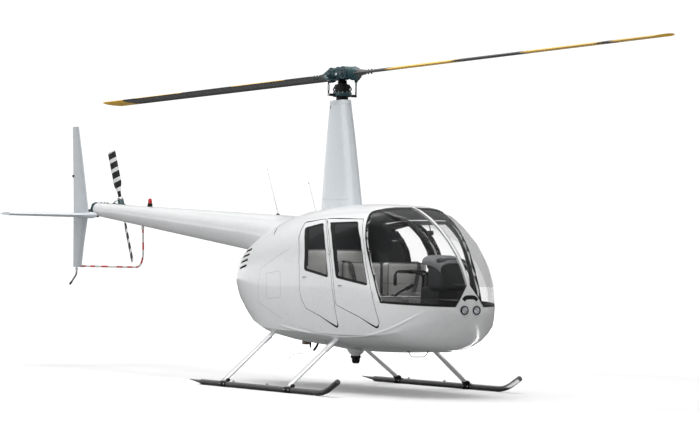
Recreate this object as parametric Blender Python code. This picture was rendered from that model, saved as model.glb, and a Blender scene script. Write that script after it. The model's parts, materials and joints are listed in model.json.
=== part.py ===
"""Light four-seat helicopter with a two-blade teetering rotor, skids and a boom tail.

Metres, +X towards the nose, +Y to port, +Z up. Drawn about the rotor mast and moved to the datum at the end.
"""

from math import cos, pi, radians, sin, sqrt

import bmesh
import bpy
from mathutils import Matrix, Vector

# Driving dimensions
DATUM_X = 0.4648
DATUM_Y = 0.005
GAP = 0.0003
WALL = 0.030
COWL_WALL = 0.012
FLOOR_Z = 0.600
CEILING_SPLIT_Z = 1.722
BULKHEAD_X = -0.330
BULKHEAD_THICK = 0.030

ROTOR_RADIUS = 5.029
ROTOR_CHORD = 0.254
ROTOR_AZIMUTH = radians(1.30)
ROTOR_PITCH = ((0.30, 8.0), (ROTOR_RADIUS, 7.0))
TEETER_TILT = radians(-0.73)
TEETER_Z = 3.213
TEETER_PIN_RADIUS = 0.012
TAIL_ROTOR = Vector((-5.55, 0.371, 1.94))
TAIL_ROTOR_RADIUS = 0.737
TAIL_ROTOR_CHORD = 0.130
TAIL_ROTOR_AZIMUTH = radians(114.1)
TAIL_ROTOR_PITCH = radians(18.0)

# Blades: place along the span, chord, thickness as a share of the chord
MAIN_BLADE = ((0.340, 0.150, 0.22), (0.560, ROTOR_CHORD, 0.13), (2.800, ROTOR_CHORD, 0.12), (ROTOR_RADIUS, ROTOR_CHORD, 0.11))
TAIL_BLADE = ((0.0903, 0.045, 0.60), (0.190, 0.055, 0.40), (0.290, TAIL_ROTOR_CHORD, 0.14), (TAIL_ROTOR_RADIUS, TAIL_ROTOR_CHORD, 0.11))
SHAFT_RADIUS = 0.030
# Mast fairing rings: height, centre x, half length, half width
MAST_FAIRING = ((1.830, 0.015, 0.360, 0.110), (2.2, 0.0, 0.30, 0.098), (2.6, -0.017, 0.235, 0.084), (2.95, -0.034, 0.168, 0.070))

BOOM_SIDES = 28
BOOM_JOINT_X = -1.270
BOOM_END_X = -5.440
EXHAUST_X = -0.640
EXHAUST_RADIUS = 0.045
# Cooling slots in the shoulder of the cowl, port side: centre of each
LOUVRES = ((-1.175, 0.470, 1.222), (-1.170, 0.458, 1.283), (-1.170, 0.440, 1.340), (-1.160, 0.414, 1.394))
LOUVRE_SIZE = (0.125, 0.045, 0.0125)
LOUVRE_TURN = radians(13.0)
LOUVRE_RISE = radians(8.8)
# Air intake slot over the shoulder, port side: its two ends
INTAKE = ((-0.520, 0.484, 1.556), (-0.625, 0.352, 1.665))
INTAKE_RADIUS = 0.016

LAMP_Y = 0.070
LAMP_Z = 0.842
LAMP_RADIUS = 0.044

SKID_Y = 1.074
SKID_RADIUS = 0.028
SKID_Z = 0.030
WEAR_SHOES = ((-0.78, -0.40), (0.70, 1.30))
STRUT_CHORD = 0.100
FRONT_FOOT = Vector((0.772, SKID_Y, 0.055))
FRONT_TOP = Vector((0.776, 0.559, 0.488))
REAR_FOOT = Vector((-0.483, SKID_Y, 0.055))
REAR_TOP = Vector((-0.545, 0.467, 0.536))

# Tail surfaces: place along the span, leading edge x, trailing edge x
FIN_Y = -0.115
FIN_THICK = 0.11
STABILISER_Z = 1.818
STABILISER_THICK = 0.14
FIN_UPPER = ((1.8183, -5.474, -5.876), (2.20, -5.572, -5.893), (2.55, -5.668, -5.914), (2.903, -5.773, -5.937))
FIN_LOWER = ((1.8177, -5.494, -5.880), (1.50, -5.585, -5.875), (1.186, -5.652, -5.869))
STABILISER = ((-0.0885, -5.300, -5.875), (-0.190, -5.480, -5.873), (-1.112, -5.575, -5.865))
TUBE_RADIUS = 0.011

# Hull stations: x, half width, widest height, top, top roundness, chine half width, chine height, keel
STATIONS = (
    (2.302, 0.100, 0.780, 0.870, 2.0, 0.092, 0.735, 0.660),
    (2.285, 0.174, 0.815, 0.990, 2.0, 0.160, 0.742, 0.596),
    (2.262, 0.233, 0.850, 1.080, 2.0, 0.216, 0.745, 0.555),
    (2.225, 0.303, 0.880, 1.160, 2.1, 0.282, 0.735, 0.512),
    (2.170, 0.373, 0.910, 1.250, 2.15, 0.350, 0.712, 0.478),
    (2.080, 0.451, 0.940, 1.370, 2.25, 0.424, 0.680, 0.450),
    (1.950, 0.524, 0.970, 1.496, 2.4, 0.494, 0.645, 0.430),
    (1.780, 0.580, 1.000, 1.627, 2.65, 0.546, 0.612, 0.424),
    (1.600, 0.612, 1.020, 1.730, 2.9, 0.576, 0.590, 0.418),
    (1.430, 0.628, 1.030, 1.803, 3.3, 0.589, 0.582, 0.410),
    (1.250, 0.636, 1.040, 1.850, 3.4, 0.597, 0.578, 0.402),
    (1.000, 0.640, 1.050, 1.868, 3.2, 0.602, 0.576, 0.395),
    (0.700, 0.640, 1.050, 1.872, 3.0, 0.602, 0.576, 0.391),
    (0.400, 0.636, 1.050, 1.864, 3.0, 0.598, 0.577, 0.394),
    (0.100, 0.628, 1.050, 1.844, 2.95, 0.586, 0.582, 0.418),
    (-0.200, 0.612, 1.050, 1.818, 2.85, 0.570, 0.586, 0.435),
    (-0.450, 0.592, 1.055, 1.782, 2.7, 0.546, 0.594, 0.455),
    (-0.720, 0.562, 1.065, 1.730, 2.5, 0.508, 0.608, 0.487),
    (-0.980, 0.522, 1.080, 1.650, 2.4, 0.445, 0.662, 0.556),
    (-1.200, 0.474, 1.095, 1.568, 2.4, 0.378, 0.738, 0.652),
    (-1.380, 0.418, 1.110, 1.486, 2.3, 0.318, 0.822, 0.752),
    (-1.520, 0.344, 1.122, 1.400, 2.1, 0.262, 0.892, 0.836),
    (-1.620, 0.268, 1.130, 1.325, 2.0, 0.206, 0.952, 0.908),
    (-1.690, 0.190, 1.134, 1.255, 2.0, 0.148, 1.010, 0.976),
    (-1.730, 0.108, 1.135, 1.195, 2.0, 0.085, 1.060, 1.035),
)

# Door outlines seen from the side: x, z and the gap to the opening at that corner, wider where the swing needs it
DOOR_FRONT = (
    (0.530, 1.716, 0.0110), (0.585, 1.674, 0.0080), (0.713, 1.543, 0.0055), (0.792, 1.404, 0.0055), (0.843, 1.266, 0.0055),
    (0.870, 1.128, 0.0055), (0.927, 0.868, 0.0055), (1.336, 0.756, 0.0065), (1.500, 0.697, 0.0140), (1.590, 0.668, 0.0190),
    (1.628, 0.706, 0.0075), (1.530, 0.982, 0.0055), (1.384, 1.405, 0.0055), (1.340, 1.502, 0.0055), (1.216, 1.706, 0.0055),
)
DOOR_REAR = (
    (0.108, 1.678, 0.0120), (0.490, 1.714, 0.0055), (0.545, 1.674, 0.0055), (0.673, 1.543, 0.0055), (0.752, 1.404, 0.0055),
    (0.805, 1.266, 0.0055), (0.832, 1.128, 0.0055), (0.888, 0.883, 0.0055), (0.930, 0.700, 0.0075), (0.925, 0.656, 0.0210),
    (0.800, 0.692, 0.0150), (0.619, 0.752, 0.0065), (0.356, 0.822, 0.0055), (0.281, 0.900, 0.0055), (0.234, 0.980, 0.0055),
    (0.222, 1.201, 0.0055), (0.190, 1.402, 0.0080), (0.122, 1.544, 0.0110),
)
# Window and windshield outlines seen from the side: x, z
WINDOW_FRONT = (
    (0.612, 1.678), (0.642, 1.663), (0.766, 1.532), (0.837, 1.404), (0.884, 1.266), (0.918, 1.130),
    (1.468, 1.060), (1.420, 1.212), (1.361, 1.376), (1.290, 1.522), (1.148, 1.684),
)
WINDOW_REAR = (
    (0.168, 1.628), (0.500, 1.676), (0.624, 1.543), (0.703, 1.403), (0.750, 1.265), (0.778, 1.130),
    (0.312, 1.200), (0.312, 1.302), (0.295, 1.403), (0.250, 1.503),
)
WINDSHIELD = (
    (1.652, 0.897), (1.536, 1.165), (1.420, 1.405), (1.366, 1.510), (1.328, 1.590), (1.272, 1.698), (1.222, 1.779),
    (1.276, 1.804), (1.318, 1.827), (1.308, 1.860), (1.308, 2.100), (2.500, 2.100), (2.500, 0.862),
)
WINDOW_ROUND = 0.035
DOOR_ROUND = 0.020
# Hinge pins on the port side, lower one first, each just outside the skin: x, y, z
FRONT_HINGE = (Vector((1.541, 0.6302, 0.980)), Vector((1.3905, 0.6200, 1.400)))
REAR_HINGE = (Vector((0.899, 0.6460, 0.880)), Vector((0.774, 0.6330, 1.380)))
KNUCKLE_RADIUS = 0.007
KNUCKLE_LENGTH = 0.030

# Seats: which, back face x, height of the back
SEATS = (("front", 0.700, 1.292), ("rear", -0.2997, 1.420))

# Colours: name, red, green, blue, roughness, metallic, alpha
PAINTS = {
    "white": (0.80, 0.81, 0.82, 0.25, 0.0, 1.0),
    "silver": (0.42, 0.48, 0.52, 0.35, 0.2, 1.0),
    "black": (0.015, 0.016, 0.018, 0.45, 0.0, 1.0),
    "hub": (0.035, 0.060, 0.065, 0.40, 0.4, 1.0),
    "steel": (0.45, 0.46, 0.48, 0.30, 1.0, 1.0),
    "glass": (0.35, 0.38, 0.40, 0.05, 0.0, 0.35),
    "lamp": (0.85, 0.87, 0.90, 0.05, 0.0, 0.6),
    "red": (0.65, 0.02, 0.02, 0.25, 0.0, 1.0),
    "leather": (0.42, 0.42, 0.41, 0.60, 0.0, 1.0),
    "trim": (0.05, 0.05, 0.055, 0.70, 0.0, 1.0),
    "engine": (0.20, 0.20, 0.21, 0.55, 0.6, 1.0),
}


def clear_scene():
    for thing in list(bpy.data.objects):
        bpy.data.objects.remove(thing, do_unlink=True)


def material(name):
    """One Principled material for each named paint."""
    found = bpy.data.materials.get(name)
    if found:
        return found
    red, green, blue, rough, metal, alpha = PAINTS[name]
    made = bpy.data.materials.new(name)
    made.use_nodes = True
    shader = made.node_tree.nodes["Principled BSDF"]
    shader.inputs["Base Color"].default_value = (red, green, blue, 1.0)
    shader.inputs["Roughness"].default_value = rough
    shader.inputs["Metallic"].default_value = metal
    shader.inputs["Alpha"].default_value = alpha
    made.diffuse_color = (red, green, blue, alpha)
    return made


def bare(mesh, name="work"):
    """A work object that holds a mesh while a modifier is solved."""
    held = bpy.data.objects.new(name, mesh)
    bpy.context.scene.collection.objects.link(held)
    return held


def to_mesh(bm, turn_out=True):
    """A mesh from new faces turned outwards, or from faces that already face the right way."""
    if turn_out:
        bmesh.ops.recalc_face_normals(bm, faces=bm.faces)
    mesh = bpy.data.meshes.new("work")
    bm.to_mesh(mesh)
    bm.free()
    return mesh


def combine(first, second, operation):
    """Boolean of two closed meshes, returned as a third."""
    one = bare(first.copy())
    two = bare(second.copy())
    solver = one.modifiers.new("boolean", "BOOLEAN")
    solver.solver = "EXACT"
    solver.operation = operation
    solver.object = two
    graph = bpy.context.evaluated_depsgraph_get()
    graph.update()
    solved = bpy.data.meshes.new_from_object(one.evaluated_get(graph))
    bpy.data.objects.remove(one, do_unlink=True)
    bpy.data.objects.remove(two, do_unlink=True)
    bm = bmesh.new()
    bm.from_mesh(solved)
    bmesh.ops.remove_doubles(bm, verts=bm.verts, dist=0.00002)
    bmesh.ops.dissolve_degenerate(bm, edges=bm.edges, dist=0.00002)
    return to_mesh(bm, False)


def cut(first, *others):
    for other in others:
        first = combine(first, other, "DIFFERENCE")
    return first


def keep(first, *others):
    for other in others:
        first = combine(first, other, "INTERSECT")
    return first


def join(first, *others):
    for other in others:
        first = combine(first, other, "UNION")
    return first


def largest(mesh):
    """The biggest of a mesh's separate shells, for cuts that leave slivers."""
    bm = bmesh.new()
    bm.from_mesh(mesh)
    bm.verts.ensure_lookup_table()
    seen = set()
    best = set()
    for start in bm.verts:
        if start in seen:
            continue
        group = {start}
        front = [start]
        while front:
            vert = front.pop()
            for edge in vert.link_edges:
                other = edge.other_vert(vert)
                if other not in group:
                    group.add(other)
                    front.append(other)
        seen |= group
        if len(group) > len(best):
            best = group
    bmesh.ops.delete(bm, geom=[v for v in bm.verts if v not in best], context="VERTS")
    return to_mesh(bm, False)


def mirrored(mesh):
    """The same mesh on the other side of the centreline."""
    bm = bmesh.new()
    bm.from_mesh(mesh)
    bmesh.ops.scale(bm, vec=(1.0, -1.0, 1.0), verts=bm.verts)
    bmesh.ops.reverse_faces(bm, faces=bm.faces)
    return to_mesh(bm, False)


def moved(mesh, matrix):
    copy = mesh.copy()
    copy.transform(matrix)
    return copy


def box(low, high):
    bm = bmesh.new()
    bmesh.ops.create_cube(bm, size=1.0)
    size = Vector(high) - Vector(low)
    middle = (Vector(high) + Vector(low)) / 2
    bmesh.ops.scale(bm, vec=size, verts=bm.verts)
    bmesh.ops.translate(bm, vec=middle, verts=bm.verts)
    return to_mesh(bm)


def rounded_box(low, high, radius, segments=2):
    bm = bmesh.new()
    bm.from_mesh(box(low, high))
    bmesh.ops.bevel(bm, geom=bm.edges[:], offset=radius, segments=segments, profile=0.5, affect="EDGES")
    return to_mesh(bm)


def prism(outline, low_y, high_y):
    """An outline in x and z drawn out along y."""
    bm = bmesh.new()
    rings = [[bm.verts.new((row[0], y, row[1])) for row in outline] for y in (low_y, high_y)]
    count = len(outline)
    bm.faces.new(rings[0])
    bm.faces.new(rings[1])
    for i in range(count):
        j = (i + 1) % count
        bm.faces.new((rings[0][i], rings[0][j], rings[1][j], rings[1][i]))
    return to_mesh(bm)


def rounded(outline, radius, steps=3):
    """An outline with each of its corners rounded off; a corner's further values go with it."""
    path = [Vector(row[:2]) for row in outline]
    out = []
    for i, here in enumerate(path):
        rest = tuple(outline[i][2:])
        before = path[i - 1]
        after = path[(i + 1) % len(path)]
        back = (before - here).normalized()
        on = (after - here).normalized()
        if back.dot(on) < -0.90:
            out.append(tuple(here) + rest)
            continue
        reach = min(radius, (here - before).length * 0.45, (after - here).length * 0.45)
        for k in range(steps + 1):
            t = k / steps
            point = (here + back * reach) * (1 - t) ** 2 + here * 2 * t * (1 - t) + (here + on * reach) * t ** 2
            out.append(tuple(point) + rest)
    return out


def offset_outline(outline, distance=None):
    """Grow an outline by a distance, or by each corner's own third value."""
    path = [Vector(row[:2]) for row in outline]
    area = sum(a.x * b.y - b.x * a.y for a, b in zip(path, path[1:] + path[:1]))
    side = 1.0 if area > 0 else -1.0
    grown = []
    for i, here in enumerate(path):
        first = (here - path[i - 1]).normalized()
        second = (path[(i + 1) % len(path)] - here).normalized()
        normal_a = Vector((first.y, -first.x)) * side
        normal_b = Vector((second.y, -second.x)) * side
        middle = (normal_a + normal_b).normalized()
        reach = outline[i][2] if distance is None else distance
        grown.append(tuple(here + middle * (reach / max(0.3, middle.dot(normal_a)))))
    return grown


def loft(rings, closed_ends=True):
    """A skin through rings of points; every ring has the same count."""
    bm = bmesh.new()
    made = [[bm.verts.new(point) for point in ring] for ring in rings]
    count = len(made[0])
    for a, b in zip(made, made[1:]):
        for i in range(count):
            j = (i + 1) % count
            bm.faces.new((a[i], a[j], b[j], b[i]))
    if closed_ends:
        bm.faces.new(list(reversed(made[0])))
        bm.faces.new(made[-1])
    return to_mesh(bm)


def frame_along(direction, up=Vector((0.0, 0.0, 1.0))):
    """Two unit vectors square to a direction."""
    direction = direction.normalized()
    if abs(direction.dot(up)) > 0.98:
        up = Vector((1.0, 0.0, 0.0))
    side = direction.cross(up).normalized()
    return side, side.cross(direction).normalized()


def rod(path, radii, segments=12):
    """A round bar along a path, with one radius or one for each point."""
    points = [Vector(p) for p in path]
    if not hasattr(radii, "__len__"):
        radii = [radii] * len(points)
    rings = []
    side, up = frame_along(points[1] - points[0])
    for i, point in enumerate(points):
        before = points[max(0, i - 1)]
        after = points[min(len(points) - 1, i + 1)]
        direction = (after - before).normalized()
        side = (side - direction * side.dot(direction)).normalized()
        up = side.cross(direction).normalized()
        ring = []
        for k in range(segments):
            angle = 2 * pi * k / segments
            ring.append(point + (side * cos(angle) + up * sin(angle)) * radii[i])
        rings.append(ring)
    return loft(rings)


def bend(points, radius, steps=5):
    """Round the corners of a path of straight runs."""
    path = [Vector(p) for p in points]
    out = [path[0]]
    for before, here, after in zip(path, path[1:], path[2:]):
        reach = min(radius, (here - before).length * 0.45, (after - here).length * 0.45)
        start = here + (before - here).normalized() * reach
        end = here + (after - here).normalized() * reach
        for k in range(steps + 1):
            t = k / steps
            out.append(start * (1 - t) ** 2 + here * 2 * t * (1 - t) + end * t ** 2)
    out.append(path[-1])
    return out


def foil(chord, thick, points=9, nose=0.25):
    """A symmetric aerofoil outline with its nose at a share of the chord ahead of zero: along, then across."""
    upper = []
    for i in range(points):
        u = (1 - cos(pi * i / (points - 1))) / 2
        half = 5 * thick * (0.2969 * sqrt(u) - 0.1260 * u - 0.3516 * u ** 2 + 0.2843 * u ** 3 - 0.1036 * u ** 4)
        upper.append((chord * (nose - u), max(half * chord, 0.0012) if 0 < i < points - 1 else half * chord))
    outline = [(upper[0][0], 0.0)] + upper[1:-1] + [(upper[-1][0], 0.0012), (upper[-1][0], -0.0012)]
    outline += [(a, -b) for a, b in reversed(upper[1:-1])]
    return outline


def hull_ring(station):
    """One closed cross-section of the hull, from the top round to port and back."""
    x, half, widest, top, power, chine_y, chine_z, keel = station
    right = []
    for i in range(11):
        angle = pi / 2 * (1 - i / 10)
        y = half * max(0.0, cos(angle)) ** (2 / power)
        z = widest + (top - widest) * max(0.0, sin(angle)) ** (2 / power)
        right.append((y, z))
    for i in range(1, 6):
        t = i / 5
        control = (half, (widest + 2 * chine_z) / 3)
        y = half * (1 - t) ** 2 + control[0] * 2 * t * (1 - t) + chine_y * t ** 2
        z = widest * (1 - t) ** 2 + control[1] * 2 * t * (1 - t) + chine_z * t ** 2
        right.append((y, z))
    for i in range(1, 6):
        t = i / 5
        control = (chine_y * 0.68, keel + (chine_z - keel) * 0.10)
        y = chine_y * (1 - t) ** 2 + control[0] * 2 * t * (1 - t)
        z = chine_z * (1 - t) ** 2 + control[1] * 2 * t * (1 - t) + keel * t ** 2
        right.append((y, z))
    ring = [Vector((x, y, z)) for y, z in right]
    ring += [Vector((x, -y, z)) for y, z in reversed(right[1:-1])]
    return ring


def hull(inset=0.0):
    """The whole closed hull skin, or a smaller one lying inset metres inside it."""
    bm = bmesh.new()
    rings = [[bm.verts.new(point) for point in hull_ring(station)] for station in STATIONS]
    count = len(rings[0])
    for a, b in zip(rings, rings[1:]):
        for i in range(count):
            j = (i + 1) % count
            if i < count // 2:
                bm.faces.new((a[i], a[j], b[j]))
                bm.faces.new((a[i], b[j], b[i]))
            else:
                bm.faces.new((a[i], a[j], b[i]))
                bm.faces.new((a[j], b[j], b[i]))
    bm.faces.new(list(reversed(rings[0])))
    bm.faces.new(rings[-1])
    bmesh.ops.recalc_face_normals(bm, faces=bm.faces)
    bm.normal_update()
    for vert, normal in [(v, v.normal.copy()) for v in bm.verts]:
        vert.co -= normal * inset
    return to_mesh(bm)


def ellipse_ring(centre, half_long, half_wide, segments=24):
    ring = []
    for k in range(segments):
        angle = 2 * pi * k / segments
        ring.append(Vector((centre[0] + half_long * cos(angle), centre[1] + half_wide * sin(angle), centre[2])))
    return ring


def round_ring(x, centre_z, radius, segments=24, y=0.0):
    ring = []
    for k in range(segments):
        angle = 2 * pi * k / segments
        ring.append(Vector((x, y + radius * cos(angle), centre_z + radius * sin(angle))))
    return ring


def place(name, mesh, paint, parent, origin=(0.0, 0.0, 0.0), sharp=35.0):
    """Hang one finished solid on its parent, its mesh measured from the given origin."""
    mesh = mesh.copy()
    mesh.transform(Matrix.Translation(-Vector(origin)))
    mesh.name = name
    thing = bpy.data.objects.new(name, mesh)
    bpy.context.scene.collection.objects.link(thing)
    mesh.materials.clear()
    mesh.materials.append(material(paint))
    mesh.shade_smooth()
    mesh.set_sharp_from_angle(angle=radians(sharp))
    thing.parent = parent
    return thing


def pivot(name, location, parent=None, rotation=None):
    """An empty that carries a moving group."""
    empty = bpy.data.objects.new(name, None)
    bpy.context.scene.collection.objects.link(empty)
    empty.location = location
    if rotation is not None:
        empty.rotation_euler = rotation
    empty.parent = parent
    return empty


def boom_radius(x):
    """Radius of the tail boom along its length."""
    return 0.197 - (-1.89 - x) * 0.0333


def boom_axis(x):
    """Height of the boom's centre along its length."""
    return 1.613 + (-1.89 - x) * 0.0772


def knuckle(hinge, at, low, high, leaves):
    """A hinge barrel about the pin line with leaves of given x and y ranges beside it."""
    along = (hinge[1] - hinge[0]).normalized()
    lean = Matrix.Translation(at) @ Vector((0.0, 0.0, 1.0)).rotation_difference(along).to_matrix().to_4x4()
    barrel = rod([at + along * low, at + along * high], KNUCKLE_RADIUS, 10)
    for low_x, high_x, low_y, high_y in leaves:
        barrel = join(barrel, moved(box((low_x, low_y, low), (high_x, high_y, high)), lean))
    return barrel


def lamp_pockets():
    return [rod([(2.26, y, LAMP_Z), (2.4, y, LAMP_Z)], LAMP_RADIUS + GAP, 20) for y in (LAMP_Y, -LAMP_Y)]


def build_hull(datum):
    skin = hull()
    cavity = keep(hull(WALL), box((BULKHEAD_X + BULKHEAD_THICK, -1, FLOOR_Z), (3, 1, 3)))
    cabin = cut(keep(skin, box((BULKHEAD_X, -1, 0), (3, 1, 3))), cavity)
    windshield = prism(WINDSHIELD, -1, 1)
    door_holes = []
    for outline in (DOOR_FRONT, DOOR_REAR):
        grown = offset_outline(rounded(outline, DOOR_ROUND))
        door_holes += [prism(grown, 0.30, 1), prism(grown, -1, -0.30)]
    lower = cut(keep(cabin, box((-1, -1, 0), (3, 1, CEILING_SPLIT_Z))), windshield, *door_holes, *lamp_pockets())
    upper = cut(keep(cabin, box((-1, -1, CEILING_SPLIT_Z + GAP), (3, 1, 3))), windshield)
    lower = largest(lower)
    for hinge in (FRONT_HINGE, REAR_HINGE):
        for at in hinge:
            fixed = knuckle(hinge, at, -KNUCKLE_LENGTH / 2, -GAP, [(0.0, 0.009, -0.0180, -0.0015)])
            lower = join(lower, fixed, mirrored(fixed))
    place("cabin_tub", lower, "white", datum)
    place("cabin_roof", largest(upper), "white", datum)
    build_windshield(datum, skin)
    build_doors(datum, cabin)


def glass_skin(skin_depth=0.003, thick=0.005):
    return cut(hull(skin_depth), hull(skin_depth + thick))


def build_windshield(datum, skin):
    region = prism(offset_outline(WINDSHIELD, -GAP), -1, 1)
    shell = cut(skin, hull(WALL * 0.6))
    strip_zone = box((1.0, -0.017, 0.9), (3.0, 0.017, 2.2))
    fairing_zone = moved(prism(((-0.165, 0.870), (0.165, 0.870), (0.012, 1.085), (-0.012, 1.085)), -0.3, 0.3),
                         Matrix.Translation((2.28, 0, 0)) @ Matrix.Rotation(pi / 2, 4, "Z"))
    front = join(strip_zone, fairing_zone)
    strip = cut(keep(shell, region, front), *lamp_pockets())
    place("windshield_centre_strip", largest(strip), "white", datum)
    glass = keep(glass_skin(), region)
    wider = join(box((1.0, -0.0173, 0.9), (3.0, 0.0173, 2.2)),
                 moved(prism(((-0.1654, 0.8697), (0.1654, 0.8697), (0.0123, 1.0856), (-0.0123, 1.0856)), -0.3, 0.3),
                       Matrix.Translation((2.28, 0, 0)) @ Matrix.Rotation(pi / 2, 4, "Z")))
    glass = cut(glass, wider)
    pane = largest(keep(glass, box((0, 0, 0), (3, 1, 3))))
    place("windshield_port", pane, "glass", datum)
    place("windshield_starboard", mirrored(pane), "glass", datum)


def build_doors(datum, cabin):
    """Four doors with their glass, drawn for port and mirrored to starboard."""
    glass = glass_skin()
    for name, outline, window, hinge in (
        ("front", DOOR_FRONT, WINDOW_FRONT, FRONT_HINGE),
        ("rear", DOOR_REAR, WINDOW_REAR, REAR_HINGE),
    ):
        window = rounded(window, WINDOW_ROUND)
        leaf = keep(cabin, prism(rounded(outline, DOOR_ROUND), 0.30, 1))
        leaf = largest(cut(leaf, prism(window, 0.30, 1)))
        for at in hinge:
            leaves = [(-0.022, 0.0, -0.0065, -0.0010), (-0.030, -0.012, -0.0190, -0.0010)]
            leaf = join(leaf, knuckle(hinge, at, 0.0, KNUCKLE_LENGTH / 2, leaves))
        pane = largest(keep(glass, prism(offset_outline(window, -GAP), 0.30, 1)))
        for side, flip in (("port", False), ("starboard", True)):
            origin = hinge[0].copy()
            if flip:
                origin.y = -origin.y
            carrier = pivot("door_" + name + "_" + side + "_pivot", origin, datum)
            place("door_" + name + "_" + side, mirrored(leaf) if flip else leaf, "white", carrier, origin)
            place("door_" + name + "_" + side + "_window", mirrored(pane) if flip else pane, "glass", carrier, origin)


def boom_tube(grow, *places):
    """The boom's round skin grown by a distance, through the given places along it."""
    return loft([round_ring(x, boom_axis(x), boom_radius(x) + grow, BOOM_SIDES) for x in places])


def build_cowl(datum):
    """Engine cowl with the root of the tail boom faired into it and a saddle for the boom behind that."""
    back = keep(hull(), box((-3, -1, 0), (BULKHEAD_X - GAP, 1, 3)))
    outer = join(back, boom_tube(0.004, -0.42, -0.8, BOOM_JOINT_X))
    bay = keep(hull(COWL_WALL), box((-3, -1, 0), (BULKHEAD_X - 0.012, 1, 3)))
    inner_boom = boom_tube(-0.010, -0.30, -0.8, -1.70)
    saddle = boom_tube(GAP, BOOM_JOINT_X, -1.9)
    pipe_hole = rod([(EXHAUST_X, 0, 0.62), (EXHAUST_X, 0, 0.40)], EXHAUST_RADIUS + GAP, 16)
    cowl = cut(outer, bay, inner_boom, saddle, pipe_hole)
    for at in LOUVRES:
        cowl = cut(cowl, louvre(at), mirrored(louvre(at)))
    intake = rod([Vector(end) for end in INTAKE], INTAKE_RADIUS, 10)
    cowl = cut(cowl, intake, mirrored(intake))
    place("engine_cowl", largest(cowl), "white", datum)


def boom_skin(grow=0.0):
    return boom_tube(grow, BOOM_JOINT_X - GAP, -2.9, -4.2, BOOM_END_X)


def build_boom(datum):
    inner = boom_tube(-0.004, BOOM_JOINT_X + 0.1, -2.9, -4.2, BOOM_END_X + 0.01)
    place("tail_boom", cut(boom_skin(), inner), "white", datum)


def louvre(centre):
    """A cutter for one cooling slot through the cowl's skin on the port side."""
    turn = Matrix.Translation(centre) @ Matrix.Rotation(LOUVRE_TURN, 4, "Z") @ Matrix.Rotation(-LOUVRE_RISE, 4, "Y")
    long, deep, high = LOUVRE_SIZE
    return moved(rounded_box((-long, -deep, -high), (long, deep, high), 0.006), turn)


def blade_solid(rows, thick, way, grow=0.0):
    """A fin or tailplane through rows of place along its span, leading edge and trailing edge."""
    rings = []
    for at, front, back in rows:
        chord = front - back
        outline = foil(chord, thick)
        if grow:
            outline = offset_outline(outline, grow)
        if way == "up":
            rings.append([Vector((front - chord / 4 + a, FIN_Y + b, at)) for a, b in outline])
        else:
            rings.append([Vector((front - chord / 4 + a, at, STABILISER_Z + b)) for a, b in outline])
    return loft(rings)


def build_tail(datum):
    end_z = boom_axis(BOOM_END_X)
    back = BOOM_END_X - GAP
    housing = rod([(back, 0, end_z), (-5.490, 0, end_z), (-5.530, 0, end_z + 0.010), (-5.565, 0, end_z + 0.016)], [0.078, 0.076, 0.066, 0.044], 16)
    neck = rod([(-5.50, 0, 1.862), (-5.80, 0, 1.862)], 0.034, 12)
    hub_z = TAIL_ROTOR.z
    case = rod([(-5.50, 0.02, hub_z - 0.016), (-5.585, 0.02, hub_z - 0.016), (-5.600, 0.02, hub_z - 0.016)], [0.046, 0.046, 0.034], 16)
    end_y = TAIL_ROTOR.y - 0.1205
    output_path = [(TAIL_ROTOR.x, 0.0, hub_z), (TAIL_ROTOR.x, end_y - 0.060, hub_z), (TAIL_ROTOR.x, end_y - 0.059, hub_z), (TAIL_ROTOR.x, end_y, hub_z)]
    output = rod(output_path, [0.034, 0.034, 0.026, 0.026], 16)
    block = box((-5.80, -0.0882, 1.795), (-5.50, 0.04, 1.866))
    clear = blade_solid(STABILISER, STABILISER_THICK, "across", GAP)
    place("tail_gearbox", cut(join(housing, neck, case, output, block), clear), "hub", datum)
    place("stabiliser", blade_solid(STABILISER, STABILISER_THICK, "across"), "white", datum)
    guard_path = bend([(-5.665, FIN_Y, 1.200), (-5.0, 0.10, 1.196), (-4.345, 0.04, 1.196), (-4.300, 0.0, 1.700)], 0.30, 8)
    skid_path = bend([(-5.780, FIN_Y, 1.210), (-5.780, FIN_Y, 1.10), (-5.955, FIN_Y, 0.975)], 0.04)
    guard = rod(guard_path, TUBE_RADIUS)
    skid = rod(skid_path, TUBE_RADIUS)
    sockets = [rod([path[0] - (path[1] - path[0]).normalized() * GAP] + path[1:], TUBE_RADIUS + GAP) for path in (guard_path, skid_path)]
    place("fin_upper", cut(blade_solid(FIN_UPPER, FIN_THICK, "up"), clear), "silver", datum)
    place("fin_lower", cut(blade_solid(FIN_LOWER, FIN_THICK, "up"), clear, *sockets), "white", datum)
    place("tail_skid", skid, "steel", datum)
    place("tail_rotor_guard", largest(cut(guard, boom_skin(GAP))), "red", datum)
    beacon = rod([(-4.13, 0, 1.890), (-4.13, 0, 1.945), (-4.13, 0, 1.946), (-4.13, 0, 1.985), (-4.13, 0, 2.002)], [0.030, 0.030, 0.024, 0.023, 0.012], 16)
    place("beacon", largest(cut(beacon, boom_skin(GAP))), "red", datum)


def build_mast(datum):
    rings = []
    for z, centre, long_half, wide_half in MAST_FAIRING:
        rings.append(ellipse_ring((centre, 0, z), long_half, wide_half))
    bore = rod([(0, 0, 1.7), (0, 0, 3.0)], SHAFT_RADIUS + 0.010, 16)
    place("mast_fairing", cut(loft(rings), bore, hull(-GAP)), "silver", datum)
    collar = rod([(0, 0, 2.9503), (0, 0, 2.985)], 0.062, 24)
    place("swashplate_fixed", cut(collar, bore), "hub", datum)


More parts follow.
